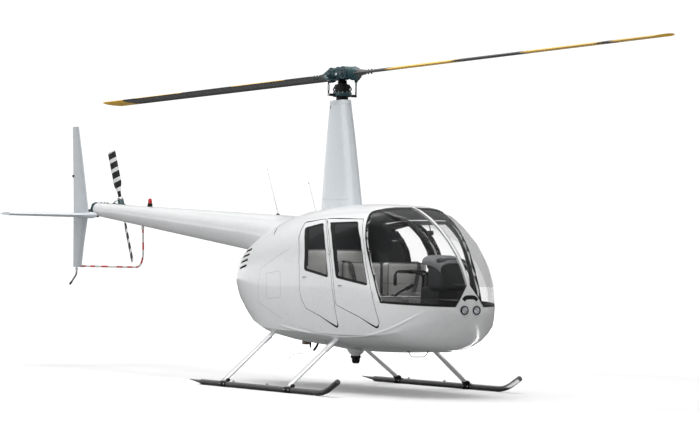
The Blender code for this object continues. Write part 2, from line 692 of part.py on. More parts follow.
def build_rotor(datum):
    """Mast with the turning half of the swashplate, its links, the teetering hub and two blades."""
    mast = pivot("main_rotor_pivot", (0, 0, TEETER_Z), datum, (0, 0, ROTOR_AZIMUTH))
    down = TEETER_Z
    pin = rod([(0, -0.078, 0), (0, 0.078, 0)], TEETER_PIN_RADIUS, 16)
    yoke = join(rod([(0, 0, 1.90 - down), (0, 0, 0.030)], SHAFT_RADIUS, 16), pin)
    yoke = join(yoke, rod([(0, 0, 2.9855 - down), (0, 0, 3.030 - down)], 0.096, 24))
    yoke = join(yoke, rod([(0, 0, 3.020 - down), (0, 0, 3.110 - down), (0, 0, 3.1101 - down), (0, 0, 3.125 - down)], [0.078, 0.078, 0.045, 0.045], 24))
    for y in (-0.170, 0.170):
        arm = rod([(0.0, y * 0.4, 3.000 - down), (0.0, y, 3.000 - down)], 0.014)
        yoke = join(yoke, arm, rod([(0.0, y, 2.992 - down), (0.0, y, 3.155 - down)], 0.008))
    place("rotor_mast", yoke, "hub", mast)
    teeter = pivot("teeter_pivot", (0, 0, 0), mast, (0, TEETER_TILT, 0))
    hub = rounded_box((-0.155, -0.050, -0.048), (0.155, 0.050, 0.052), 0.014)
    for x in (-0.108, 0.108):
        hub = join(hub, rod([(x, -0.074, 0.012), (x, 0.074, 0.012)], 0.066, 20))
    hub = join(hub, rod([(0, -0.062, 0.014), (0, 0.062, 0.014)], 0.066, 20))
    hub = cut(hub, box((-0.044, -0.040, -0.2), (0.044, 0.040, 0.040)), rod([(0, -0.1, 0), (0, 0.1, 0)], TEETER_PIN_RADIUS + 0.0005, 16))
    place("rotor_hub", largest(hub), "hub", teeter)
    for name, turn in (("a", 0.0), ("b", pi)):
        rings = []
        for r, chord, thick in MAIN_BLADE:
            share = (r - ROTOR_PITCH[0][0]) / (ROTOR_PITCH[1][0] - ROTOR_PITCH[0][0])
            pitch = radians(ROTOR_PITCH[0][1] + (ROTOR_PITCH[1][1] - ROTOR_PITCH[0][1]) * share)
            rings.append([Vector((r, a * cos(pitch) - b * sin(pitch), a * sin(pitch) + b * cos(pitch))) for a, b in foil(chord, thick)])
        root = rod([(0.1743, 0, 0), (0.184, 0, 0), (0.232, 0, 0), (0.310, 0, 0), (0.462, 0, 0)], [0.058, 0.068, 0.068, 0.038, 0.017], 20)
        blade = moved(join(loft(rings), root), Matrix.Rotation(turn, 4, "Z"))
        place("rotor_blade_" + name, blade, "black", teeter)


def build_tail_rotor(datum):
    carrier = pivot("tail_rotor_pivot", TAIL_ROTOR, datum, (0, -TAIL_ROTOR_AZIMUTH, 0))
    hub = join(rod([(0, -0.12, 0), (0, 0.045, 0)], 0.028, 16), rounded_box((-0.09, -0.03, -0.03), (0.09, 0.03, 0.03), 0.006))
    place("tail_rotor_hub", hub, "hub", carrier)
    lean = TAIL_ROTOR_PITCH
    for name, turn in (("a", 0.0), ("b", pi)):
        rings = []
        for r, chord, thick in TAIL_BLADE:
            rings.append([Vector((r, b * cos(lean) - a * sin(lean), a * cos(lean) + b * sin(lean))) for a, b in foil(chord, thick, nose=0.45)])
        blade = moved(loft(rings), Matrix.Rotation(turn, 4, "Y"))
        place("tail_rotor_blade_" + name, blade, "white", carrier)


def strut_solid(foot, top, skin, saddle):
    """A streamlined leg from the skid tube up to the belly, drawn on the starboard side."""
    low = Vector((foot.x, -foot.y, SKID_Z + SKID_RADIUS))
    high = Vector((top.x, -top.y, top.z))
    high += (high - low).normalized() * 0.10
    rings = []
    for point in (low, low.lerp(high, 0.5), high):
        rings.append([point + Vector((a, 0, b)) for a, b in foil(STRUT_CHORD, 0.36)])
    return largest(cut(loft(rings), skin, saddle))


def build_skids(datum):
    saddle = rod([(-1.2, -SKID_Y, SKID_Z), (1.3, -SKID_Y, SKID_Z)], SKID_RADIUS + GAP)
    tube = rod(bend([(-0.95, -SKID_Y, SKID_Z), (1.42, -SKID_Y, SKID_Z), (1.66, -SKID_Y, 0.150)], 0.12), SKID_RADIUS)
    for low_x, high_x in WEAR_SHOES:
        shoe = box((low_x, -SKID_Y - 0.014, 0.0), (high_x, -SKID_Y + 0.014, 0.012))
        tube = join(tube, shoe)
    pieces = {
        "skid": (tube, "black"),
        "strut_front": (strut_solid(FRONT_FOOT, FRONT_TOP, hull(-GAP), saddle), "white"),
        "strut_rear": (strut_solid(REAR_FOOT, REAR_TOP, hull(-GAP), saddle), "white"),
    }
    for name, (mesh, paint) in pieces.items():
        place(name + "_starboard", mesh, paint, datum)
        place(name + "_port", mirrored(mesh), paint, datum)


def build_cabin(datum):
    floor = FLOOR_Z + GAP
    for end, x, top in SEATS:
        place("seat_base_" + end, rounded_box((x, -0.52, floor), (x + 0.50, 0.52, 0.86), 0.01), "trim", datum)
        for side, y in (("port", 0.27), ("starboard", -0.27)):
            cushion = rounded_box((x + 0.14, y - 0.235, 0.8603), (x + 0.52, y + 0.235, 0.96), 0.03)
            back = rounded_box((x, y - 0.235, 0.8603), (x + 0.1397, y + 0.235, top), 0.03)
            place("cushion_" + end + "_" + side, cushion, "leather", datum)
            place("seat_back_" + end + "_" + side, back, "leather", datum)
    panel = rounded_box((1.80, -0.17, 1.02), (2.02, 0.17, 1.335), 0.05, 3)
    pedestal = rounded_box((1.64, -0.12, floor), (1.94, 0.12, 1.06), 0.02)
    place("instrument_console", join(panel, pedestal), "trim", datum)
    stick = rod(bend([(1.47, 0, floor), (1.47, 0, 0.70), (1.51, 0, 1.175), (1.30, 0, 1.20)], 0.05), 0.014)
    place("cyclic_stick", join(stick, rod([(1.30, -0.15, 1.20), (1.30, 0.15, 1.20)], 0.016)), "steel", datum)
    place("engine", box((-1.06, -0.34, 0.72), (BULKHEAD_X - 0.0123, 0.34, 1.20)), "engine", datum)


def build_details(datum):
    for side, y in (("port", LAMP_Y), ("starboard", -LAMP_Y)):
        lamp = rod([(2.2603, y, LAMP_Z), (2.312, y, LAMP_Z)], LAMP_RADIUS, 20)
        place("landing_lamp_" + side, lamp, "lamp", datum)
    whip = rod([(-1.245, 0, 1.7700), (-1.245, 0, 1.80), (-1.486, 0, 2.291)], [0.012, 0.006, 0.003], 8)
    place("whip_antenna", largest(cut(whip, boom_tube(0.004 + GAP, -0.42, -0.8, BOOM_JOINT_X))), "steel", datum)
    clear = hull(-GAP)
    ball = rod([(-0.470, 0, 1.760), (-0.481, 0, 1.805), (-0.626, 0, 2.111)], [0.004, 0.004, 0.004], 8)
    place("ball_antenna", largest(cut(ball, clear)), "steel", datum)
    unit = rod([(0.318, 0, 0.43), (0.318, 0, 0.36), (0.318, 0, 0.29), (0.318, 0, 0.272)], [0.092, 0.080, 0.045, 0.030], 16)
    place("belly_unit", largest(cut(unit, clear)), "black", datum)
    pipe = rod([(EXHAUST_X, 0, 0.600), (EXHAUST_X, 0, 0.455), (EXHAUST_X - 0.012, 0, 0.418)], EXHAUST_RADIUS, 16)
    place("exhaust_pipe", pipe, "steel", datum)


def main():
    clear_scene()
    datum = pivot("datum", (DATUM_X, DATUM_Y, 0.0))
    build_hull(datum)
    build_cowl(datum)
    build_boom(datum)
    build_tail(datum)
    build_mast(datum)
    build_rotor(datum)
    build_tail_rotor(datum)
    build_skids(datum)
    build_cabin(datum)
    build_details(datum)
    for mesh in [m for m in bpy.data.meshes if not m.users]:
        bpy.data.meshes.remove(mesh)


main()
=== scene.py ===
"""Looks of a light four-seat helicopter: finishes, glass, trim, seats and fittings over its solids.

Metres, +X towards the nose, +Y to port, +Z up. Run as a script; laid out as an add-on.
"""

import json
from math import cos, pi, radians, sin

import bmesh
import bpy
from bpy.props import FloatProperty, FloatVectorProperty, IntProperty, PointerProperty
from mathutils import Matrix, Vector
from mathutils.bvhtree import BVHTree

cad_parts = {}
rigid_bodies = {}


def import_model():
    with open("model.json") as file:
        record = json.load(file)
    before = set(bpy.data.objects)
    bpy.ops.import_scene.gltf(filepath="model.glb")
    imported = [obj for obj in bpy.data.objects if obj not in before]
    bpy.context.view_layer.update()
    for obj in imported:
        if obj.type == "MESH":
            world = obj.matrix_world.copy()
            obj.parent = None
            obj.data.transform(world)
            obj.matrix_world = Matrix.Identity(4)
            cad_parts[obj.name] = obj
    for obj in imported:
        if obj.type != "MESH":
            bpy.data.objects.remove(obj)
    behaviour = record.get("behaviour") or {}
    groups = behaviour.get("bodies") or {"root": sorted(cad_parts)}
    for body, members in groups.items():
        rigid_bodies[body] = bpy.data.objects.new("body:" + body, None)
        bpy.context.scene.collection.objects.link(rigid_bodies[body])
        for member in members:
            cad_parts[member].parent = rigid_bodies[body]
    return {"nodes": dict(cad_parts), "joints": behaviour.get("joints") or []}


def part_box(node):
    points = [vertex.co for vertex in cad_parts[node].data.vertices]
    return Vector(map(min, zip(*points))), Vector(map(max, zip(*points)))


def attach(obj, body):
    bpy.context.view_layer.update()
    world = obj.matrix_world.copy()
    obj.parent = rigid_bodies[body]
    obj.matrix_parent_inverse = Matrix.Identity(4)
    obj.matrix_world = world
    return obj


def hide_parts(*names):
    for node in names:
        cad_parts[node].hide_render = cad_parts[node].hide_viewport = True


bl_info = {
    "name": "Light helicopter looks",
    "version": (1, 0, 0),
    "blender": (4, 5, 0),
    "location": "View3D > Sidebar > Helicopter",
    "description": "Dresses the solids of a light helicopter with finishes, glass, trim, seats and fittings",
    "category": "Object",
}

for thing in list(bpy.data.objects):
    bpy.data.objects.remove(thing, do_unlink=True)
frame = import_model()
NODES = frame["nodes"]
JOINTS = {joint["name"]: joint for joint in frame["joints"]}
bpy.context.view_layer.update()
MAST = Vector(JOINTS["main_rotor_spin"]["pos_m"])
TAIL_HUB = Vector(JOINTS["tail_rotor_spin"]["pos_m"])
SIDES = (("port", 1), ("starboard", -1))
ENDS = ("front", "rear")
CORNERS = [f"{end}_{side}" for end in ENDS for side, _ in SIDES]
WELD = 0.00002
SHARP_ANGLE = radians(32)
TRACK = 1.074
SEAT_FOOT = 0.8603
FRONT_BACK_TOP = 1.292


def at(x, y, z):
    """A point given from the foot of the rotor mast."""
    return Vector((MAST.x + x, MAST.y + y, z))


def moved(point):
    return Matrix.Translation(point)


def spun(angle, axis):
    return Matrix.Rotation(angle, 4, axis)


def facing(point, out):
    """A placing whose Z axis points out from a surface."""
    return moved(point) @ out.to_track_quat("Z", "Y").to_matrix().to_4x4()


def angles(count, first=0.0):
    """Even turns of a full circle."""
    return [first + 2 * pi * k / count for k in range(count)]


def heading(path, i):
    """The direction of a path at one of its points."""
    return (path[min(i + 1, len(path) - 1)] - path[max(i - 1, 0)]).normalized()


def boom_height(x):
    """Height of the tail boom's middle line, where x is from the mast."""
    return 1.613 + (-1.89 - x) * 0.0772


# Forms


class Form:
    """Points and faces gathered for one piece."""

    def __init__(self):
        self.points = []
        self.faces = []

    def add(self, points, faces, turn=None):
        base = len(self.points)
        for point in points:
            point = Vector(point)
            self.points.append(turn @ point if turn else point)
        self.faces.extend([tuple(base + i for i in face) for face in faces])
        return self

    def loft(self, rings, closed_ends=True, closed_rings=True):
        """A skin through rings of points; every ring has the same count."""
        base = len(self.points)
        count = len(rings[0])
        for ring in rings:
            self.points.extend(Vector(point) for point in ring)
        steps = count if closed_rings else count - 1
        for k in range(len(rings) - 1):
            for i in range(steps):
                a = base + k * count + i
                b = base + k * count + (i + 1) % count
                self.faces.append((a, b, b + count, a + count))
        if closed_ends:
            self.faces.append(tuple(base + i for i in reversed(range(count))))
            last = base + (len(rings) - 1) * count
            self.faces.append(tuple(last + i for i in range(count)))
        return self

    def tube(self, path, radii, sides=12):
        """A round bar along a path, with one radius or one for each point."""
        points = [Vector(point) for point in path]
        if not hasattr(radii, "__len__"):
            radii = [radii] * len(points)
        side = square_to(points[1] - points[0])
        rings = []
        for i, point in enumerate(points):
            along = heading(points, i)
            side = (side - along * side.dot(along)).normalized()
            up = along.cross(side)
            rings.append([point + (side * cos(a) + up * sin(a)) * radii[i] for a in angles(sides)])
        return self.loft(rings)

    def turned(self, profile, place, sides=24):
        """A turned piece: rows of radius and height along the placed Z axis."""
        rings = []
        for r, z in profile:
            rings.append([place @ Vector((r * cos(a), r * sin(a), z)) for a in angles(sides)])
        return self.loft(rings)

    def turned_band(self, inner, outer, middle, half, crown, place, sides):
        """A raised band round the placed Z axis, narrower at its crown."""
        rows = [
            (inner, middle - half), (outer, middle - crown), (outer, middle + crown), (inner, middle + half),
        ]
        return self.turned(rows, place, sides)

    def block(self, low, high, round_by=0.0, turn=None, steps=2):
        """A box with rounded edges."""
        bm = bmesh.new()
        size = [h - l for l, h in zip(low, high)]
        middle = [(h + l) / 2 for l, h in zip(low, high)]
        bmesh.ops.create_cube(bm, size=1.0, matrix=moved(middle) @ Matrix.Diagonal((*size, 1.0)))
        if round_by:
            reach = min(round_by, min(size) * 0.49)
            bmesh.ops.bevel(
                bm, geom=list(bm.edges), offset=reach, segments=steps, profile=0.5, affect="EDGES",
            )
        bm.verts.index_update()
        self.add([v.co for v in bm.verts], [[v.index for v in f.verts] for f in bm.faces], turn)
        bm.free()
        return self

    def studs(self, places, radius, height, sides=6):
        """Small domed heads at (point, outward direction) places."""
        rows = [(radius, -height * 0.3), (radius * 0.92, height * 0.5), (radius * 0.45, height)]
        for point, out in places:
            self.turned(rows, facing(point, out), sides)
        return self

    def piece(self, name, finish, body="airframe", **settings):
        """Makes a shown piece of the form."""
        mesh = bpy.data.meshes.new(name)
        mesh.from_pydata([tuple(p) for p in self.points], [], self.faces)
        bm = bmesh.new()
        bm.from_mesh(mesh)
        bmesh.ops.recalc_face_normals(bm, faces=bm.faces)
        bm.to_mesh(mesh)
        bm.free()
        return settle(name, mesh, finish, body, **settings)


def settle(name, mesh, finish, body="airframe", smooth=40.0, replaces=(), subdivide=0, slot=None):
    """Makes a shown piece of a mesh, gives it its finish and lets it ride on its body."""
    mesh.shade_smooth()
    mesh.set_sharp_from_angle(angle=radians(smooth))
    mesh.materials.clear()
    mesh.materials.append(FINISH[finish])
    thing = bpy.data.objects.new(name, mesh)
    bpy.context.scene.collection.objects.link(thing)
    if subdivide:
        modifier = thing.modifiers.new("smooth form", "SUBSURF")
        modifier.levels = modifier.render_levels = subdivide
    slot = slot or SLOTS[finish]
    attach(thing, body)
    if replaces:
        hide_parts(*replaces)
    return thing


def square_to(direction):
    direction = direction.normalized()
    other = Vector((0, 0, 1)) if abs(direction.z) < 0.9 else Vector((1, 0, 0))
    return direction.cross(other).normalized()


def bend(points, radius, steps=6):
    """Rounds the corners of a path of straight runs."""
    path = [Vector(p) for p in points]
    out = [path[0]]
    for before, here, after in zip(path, path[1:], path[2:]):
        reach = min(radius, (here - before).length * 0.45, (after - here).length * 0.45)
        start = here + (before - here).normalized() * reach
        end = here + (after - here).normalized() * reach
        for k in range(steps + 1):
            t = k / steps
            out.append(start * (1 - t) ** 2 + here * 2 * t * (1 - t) + end * t ** 2)
    out.append(path[-1])
    return out


def met(tree, start, direction):
    """Where a ray meets a skin and the direction out of it there; an empty list where it misses."""
    hit, normal, _, _ = tree.ray_cast(start, Vector(direction))
    return [] if hit is None else [(hit, normal)]


def skin_of(*names):
    """One tree of the named solids' surfaces, to find places on them."""
    bm = bmesh.new()
    for name in names:
        bm.from_mesh(NODES[name].data)
    tree = BVHTree.FromBMesh(bm)
    bm.free()
    return tree


def on_side(tree, x, z, side):
    """The place and outward direction on a skin seen square from one side, from the foot of the mast."""
    hit, normal, _, _ = tree.ray_cast(at(x, 3.0 * side, z), Vector((0, -side, 0)))
    if hit is None:
        raise RuntimeError(f"no skin at x {x}, z {z}")
    if normal.y * side < 0:
        normal.negate()
    return hit, normal


def section(tree, centre, outs, far, grow):
    """A closed ring on a skin, cast from `far[0]` out, or at `far[1]` from the centre where that misses."""
    ring = []
    for out in outs:
        hit, _, _, _ = tree.ray_cast(centre + out * far[0], -out)
        ring.append((hit if hit else centre + out * far[1]) + out * grow)
    return ring


# Shader helpers

EFFECTS = {}
FINISH = {}
SLOTS = {
    "white enamel": "white_paint",
    "pearl grey enamel": "silver_paint",
    "silver enamel darkened as shade": "silver_paint",
    "skid enamel": "black_paint",
    "black enamel": "black_paint",
    "dark teal enamel": "hub_paint",
    "brushed steel": "steel",
    "burnt metal": "steel",
    "lamp reflector": "steel",
    "lamp glass": "lens",
    "red lens": "red_lens",
    "seat leather": "leather",
    "seat piping": "leather",
    "black rubber": "trim",
    "grey rubber": "trim",
    "joint sealant": "trim",
    "moulded trim": "trim",
    "crackle paint": "trim",
    "grey lining": "trim",
    "grey carpet": "trim",
    "belt webbing": "trim",
    "dial face": "trim",
    "dial marks": "trim",
}
SOOT = (0.3, 0.29, 0.27, 1)
GREY_DUST = (0.16, 0.155, 0.15, 1)
DUST = (0.2, 0.19, 0.175, 1)


def tree_of(material):
    """A material's emptied node tree and its new shader."""
    material.use_nodes = True
    tree = material.node_tree
    tree.nodes.clear()
    output = tree.nodes.new("ShaderNodeOutputMaterial")
    shader = tree.nodes.new("ShaderNodeBsdfPrincipled")
    tree.links.new(shader.outputs["BSDF"], output.inputs["Surface"])
    return tree, shader


def new_finish(name):
    """A new material of FINISH: its node tree and its shader."""
    FINISH[name] = bpy.data.materials.new(name)
    return tree_of(FINISH[name])


def node(tree, kind, settings=None, inputs=None):
    """Adds a node; inputs are values or other nodes' sockets."""
    made = tree.nodes.new(kind)
    for key, value in (settings or {}).items():
        setattr(made, key, value)
    for key, value in (inputs or {}).items():
        if isinstance(value, bpy.types.NodeSocket):
            tree.links.new(value, made.inputs[key])
        else:
            made.inputs[key].default_value = value
    return made


def group(name, inputs, outputs):
    """A shader node group with named sockets: its tree, what it is given and what it puts out."""
    tree = bpy.data.node_groups.new(name, "ShaderNodeTree")
    kinds = {"colour": "NodeSocketColor", "value": "NodeSocketFloat"}
    for label, kind, default in inputs:
        socket = tree.interface.new_socket(label, in_out="INPUT", socket_type=kinds[kind])
        socket.default_value = default
    for label, kind in outputs:
        tree.interface.new_socket(label, in_out="OUTPUT", socket_type=kinds[kind])
    return tree, tree.nodes.new("NodeGroupInput").outputs, tree.nodes.new("NodeGroupOutput").inputs


def use(tree, effect, **inputs):
    """Places an effect in a tree and gives what it puts out."""
    return node(tree, "ShaderNodeGroup", {"node_tree": EFFECTS[effect]}, inputs).outputs


def maths(tree, what, *values):
    return node(tree, "ShaderNodeMath", {"operation": what}, dict(enumerate(values))).outputs[0]


def vector_maths(tree, what, *values):
    return node(tree, "ShaderNodeVectorMath", {"operation": what}, dict(enumerate(values))).outputs


def place_on_piece(tree):
    return node(tree, "ShaderNodeTexCoord").outputs["Object"]


def xyz(tree, vector):
    return tuple(node(tree, "ShaderNodeSeparateXYZ", inputs={0: vector}).outputs)


def noise(tree, scale, detail, roughness=0.5):
    """Cloudy noise over a piece."""
    inputs = {"Vector": place_on_piece(tree), "Scale": scale, "Detail": detail, "Roughness": roughness}
    return node(tree, "ShaderNodeTexNoise", inputs=inputs).outputs


def remap(tree, value, low, high, start=0.0, end=1.0, kind="LINEAR"):
    """A value whose range from low to high is carried over to start and end."""
    inputs = {"Value": value, "From Min": low, "From Max": high, "To Min": start, "To Max": end}
    return node(tree, "ShaderNodeMapRange", {"interpolation_type": kind}, inputs).outputs[0]


def between(tree, value, low, high):
    """1 where a value lies between two limits, otherwise 0."""
    above = maths(tree, "GREATER_THAN", value, low)
    below = maths(tree, "LESS_THAN", value, high)
    return maths(tree, "MULTIPLY", above, below)


def mix(tree, share, a, b):
    return node(tree, "ShaderNodeMix", {"data_type": "RGBA"}, {0: share, 6: a, 7: b}).outputs[2]


def soiling_effect():
    """Dust and weather: a colour that strays a little from its base, and the mask of where it does."""
    tree, given, out = group(
        "weathering",
        [
            ("Colour", "colour", (1, 1, 1, 1)), ("Soil", "colour", SOOT), ("Amount", "value", 0.2),
            ("Scale", "value", 2.0),
        ],
        [("Colour", "colour"), ("Mask", "value")],
    )
    broad = noise(tree, given["Scale"], 5.0, 0.62)["Fac"]
    fine = noise(tree, maths(tree, "MULTIPLY", given["Scale"], 14.0), 3.0)["Fac"]
    spread = remap(tree, maths(tree, "MULTIPLY", broad, fine), 0.18, 0.42)
    mask = maths(tree, "MULTIPLY", spread, given["Amount"])
    tree.links.new(mix(tree, mask, given["Colour"], given["Soil"]), out["Colour"])
    tree.links.new(mask, out["Mask"])
    return tree


def ripple_effect():
    """The faint waviness of a painted or pressed surface, as a height."""
    tree, given, out = group(
        "surface ripple", [("Scale", "value", 60.0), ("Grain", "value", 0.3)], [("Height", "value")],
    )
    broad = noise(tree, given["Scale"], 1.0)["Fac"]
    grain = noise(tree, maths(tree, "MULTIPLY", given["Scale"], 9.0), 2.0)["Fac"]
    share = maths(tree, "MULTIPLY", grain, given["Grain"])
    tree.links.new(maths(tree, "ADD", broad, share), out["Height"])
    return tree


def rubbed_effect():
    """Where raised edges are rubbed, from the surface's pointedness broken up by noise."""
    tree, given, out = group(
        "rubbed edges", [("Reach", "value", 0.5), ("Scale", "value", 30.0)], [("Mask", "value")],
    )
    pointed = node(tree, "ShaderNodeNewGeometry").outputs["Pointiness"]
    broken = maths(
        tree, "MULTIPLY", remap(tree, pointed, 0.51, 0.60), noise(tree, given["Scale"], 4.0)["Fac"],
    )
    tree.links.new(maths(tree, "MULTIPLY", broken, given["Reach"]), out["Mask"])
    return tree


def weave_effect():
    """Crossed threads, as a height and a mask of the hollows between them."""
    tree, given, out = group(
        "weave", [("Scale", "value", 600.0)], [("Height", "value"), ("Hollow", "value")],
    )
    x, y, z = xyz(tree, place_on_piece(tree))
    threads = []
    for run in (maths(tree, "ADD", x, z), maths(tree, "ADD", y, maths(tree, "MULTIPLY", z, 0.3))):
        wave = maths(tree, "SINE", maths(tree, "MULTIPLY", run, given["Scale"]))
        threads.append(maths(tree, "ABSOLUTE", wave))
    height = maths(tree, "MAXIMUM", *threads)
    tree.links.new(height, out["Height"])
    tree.links.new(maths(tree, "SUBTRACT", 1.0, height), out["Hollow"])
    return tree


def hide_effect():
    """Leather grain: cells with creases, as a height and a crease mask."""
    tree, given, out = group(
        "leather grain", [("Scale", "value", 380.0)], [("Height", "value"), ("Crease", "value")],
    )
    wander = noise(tree, 26.0, 2.0)["Color"]
    bent = vector_maths(tree, "MULTIPLY_ADD", wander, (0.006, 0.006, 0.006), place_on_piece(tree))[0]
    inputs = {"Vector": bent, "Scale": given["Scale"]}
    cells = node(tree, "ShaderNodeTexVoronoi", {"feature": "DISTANCE_TO_EDGE"}, inputs)
    height = remap(tree, cells.outputs["Distance"], 0.0, 0.22)
    tree.links.new(height, out["Height"])
    tree.links.new(maths(tree, "SUBTRACT", 1.0, height), out["Crease"])
    return tree


def build_effects():
    EFFECTS["soil"] = soiling_effect()
    EFFECTS["ripple"] = ripple_effect()
    EFFECTS["rubbed"] = rubbed_effect()
    EFFECTS["weave"] = weave_effect()
    EFFECTS["hide"] = hide_effect()


# Finishes


def set_plain(shader, values):
    """Sets what is the same all over a surface on the shader's own sockets."""
    for key, value in values.items():
        shader.inputs[key].default_value = value


def bump(tree, shader, height, strength, distance):
    made = node(
        tree, "ShaderNodeBump", inputs={"Height": height, "Strength": strength, "Distance": distance},
    )
    tree.links.new(made.outputs["Normal"], shader.inputs["Normal"])


def grained(tree, shader, scale, grain, strength, distance):
    """Gives a surface its fine waviness."""
    bump(tree, shader, use(tree, "ripple", Scale=scale, Grain=grain)["Height"], strength, distance)


def weathered(tree, shader, colour, amount, scale, rough, soil=SOOT):
    """Gives a surface its weathered colour, and its roughness from clean to soiled."""
    worn = use(tree, "soil", Colour=colour, Soil=soil, Amount=amount, Scale=scale)
    tree.links.new(worn["Colour"], shader.inputs["Base Color"])
    tree.links.new(remap(tree, worn["Mask"], 0.0, 1.0, *rough), shader.inputs["Roughness"])
    return worn["Colour"]


def shade_of(colour, share):
    return (*(c * share for c in colour), 1)


def paint(name, colour, roughness=0.28, coat=0.6, soil=0.10, shine=0.5):
    """Sprayed enamel with a clear coat, faint weathering and orange peel."""
    tree, shader = new_finish(name)
    weathered(tree, shader, (*colour, 1), soil, 1.6, (roughness, roughness + 0.3))
    set_plain(shader, {"Specular IOR Level": shine, "Coat Weight": coat, "Coat Roughness": 0.06})
    grained(tree, shader, 55.0, 0.2, 0.04, 0.004)


def bare_metal(name, colour, roughness=0.35, rubbed=0.4, brushed=120.0):
    """Machined or brushed metal with fine scratches and rubbed edges."""
    tree, shader = new_finish(name)
    worn = weathered(tree, shader, (*colour, 1), 0.35, 9.0, (roughness, roughness + 0.35))
    mask = use(tree, "rubbed", Reach=rubbed, Scale=40.0)["Mask"]
    bright = (*(min(1.0, c * 1.6 + 0.1) for c in colour), 1)
    tree.links.new(mix(tree, mask, worn, bright), shader.inputs["Base Color"])
    set_plain(shader, {"Metallic": 1.0})
    grained(tree, shader, brushed, 0.8, 0.12, 0.001)


def plain_stuff(name, colour, roughness, grain_scale, grain_depth, strength=0.35):
    """Rubber, moulded plastic or crackle paint: a matt body with a fine moulded grain."""
    tree, shader = new_finish(name)
    weathered(tree, shader, (*colour, 1), 0.12, 6.0, (roughness, min(1.0, roughness + 0.3)), GREY_DUST)
    set_plain(shader, {"Specular IOR Level": 0.3})
    grained(tree, shader, grain_scale, 0.6, strength, grain_depth)


def clear_glass(name, tint, clear, gloss):
    """Acrylic glazing: dark tinted and see-through face on, mirror-like where it is seen at a slant."""
    tree, shader = new_finish(name)
    set_plain(shader, {"Base Color": (*tint, 1), "Roughness": 0.03, "IOR": gloss})
    slant = node(tree, "ShaderNodeLayerWeight", inputs={"Blend": 0.12}).outputs["Fresnel"]
    thick = remap(tree, slant, 0.0, 1.0, clear, 0.36)
    veil = remap(tree, use(tree, "ripple", Scale=3.0, Grain=0.2)["Height"], 0.3, 0.9, -0.01, 0.015)
    path = node(tree, "ShaderNodeLightPath").outputs
    direct = maths(tree, "MAXIMUM", path["Is Camera Ray"], path["Is Glossy Ray"])
    looked_at = maths(tree, "MULTIPLY", maths(tree, "ADD", thick, veil), direct)
    tree.links.new(maths(tree, "MAXIMUM", looked_at, 0.02), shader.inputs["Alpha"])


def lens_glass(name, tint, clear):
    """Ribbed lamp glass that light passes through."""
    tree, shader = new_finish(name)
    set_plain(shader, {"Base Color": (*tint, 1), "Transmission Weight": clear, "IOR": 1.48})
    _, y, _ = xyz(tree, place_on_piece(tree))
    ribs = maths(tree, "SINE", maths(tree, "MULTIPLY", y, 1800.0))
    dirt = noise(tree, 90.0, 3.0)["Fac"]
    tree.links.new(remap(tree, dirt, 0.45, 0.75, 0.04, 0.16), shader.inputs["Roughness"])
    bump(tree, shader, ribs, 0.25, 0.0006)


def woven(name, colour, scale, roughness, depth):
    """Carpet or webbing: threads with darker hollows."""
    tree, shader = new_finish(name)
    threads = use(tree, "weave", Scale=scale)
    deep = maths(tree, "MULTIPLY", threads["Hollow"], 0.8)
    shade = mix(tree, deep, (*colour, 1), shade_of(colour, 0.35))
    worn = use(tree, "soil", Colour=shade, Soil=DUST, Amount=0.3, Scale=7.0)
    tree.links.new(worn["Colour"], shader.inputs["Base Color"])
    set_plain(shader, {"Roughness": roughness})
    bump(tree, shader, threads["Height"], 0.6, depth)


def leather(name, colour):
    """Grained leather, darker in its creases and shinier where it is clean."""
    tree, shader = new_finish(name)
    grain = use(tree, "hide", Scale=380.0)
    deep = maths(tree, "MULTIPLY", grain["Crease"], 0.45)
    creased = mix(tree, deep, (*colour, 1), shade_of(colour, 0.4))
    weathered(tree, shader, creased, 0.25, 5.0, (0.42, 0.75), DUST)
    bump(tree, shader, grain["Height"], 0.35, 0.0008)


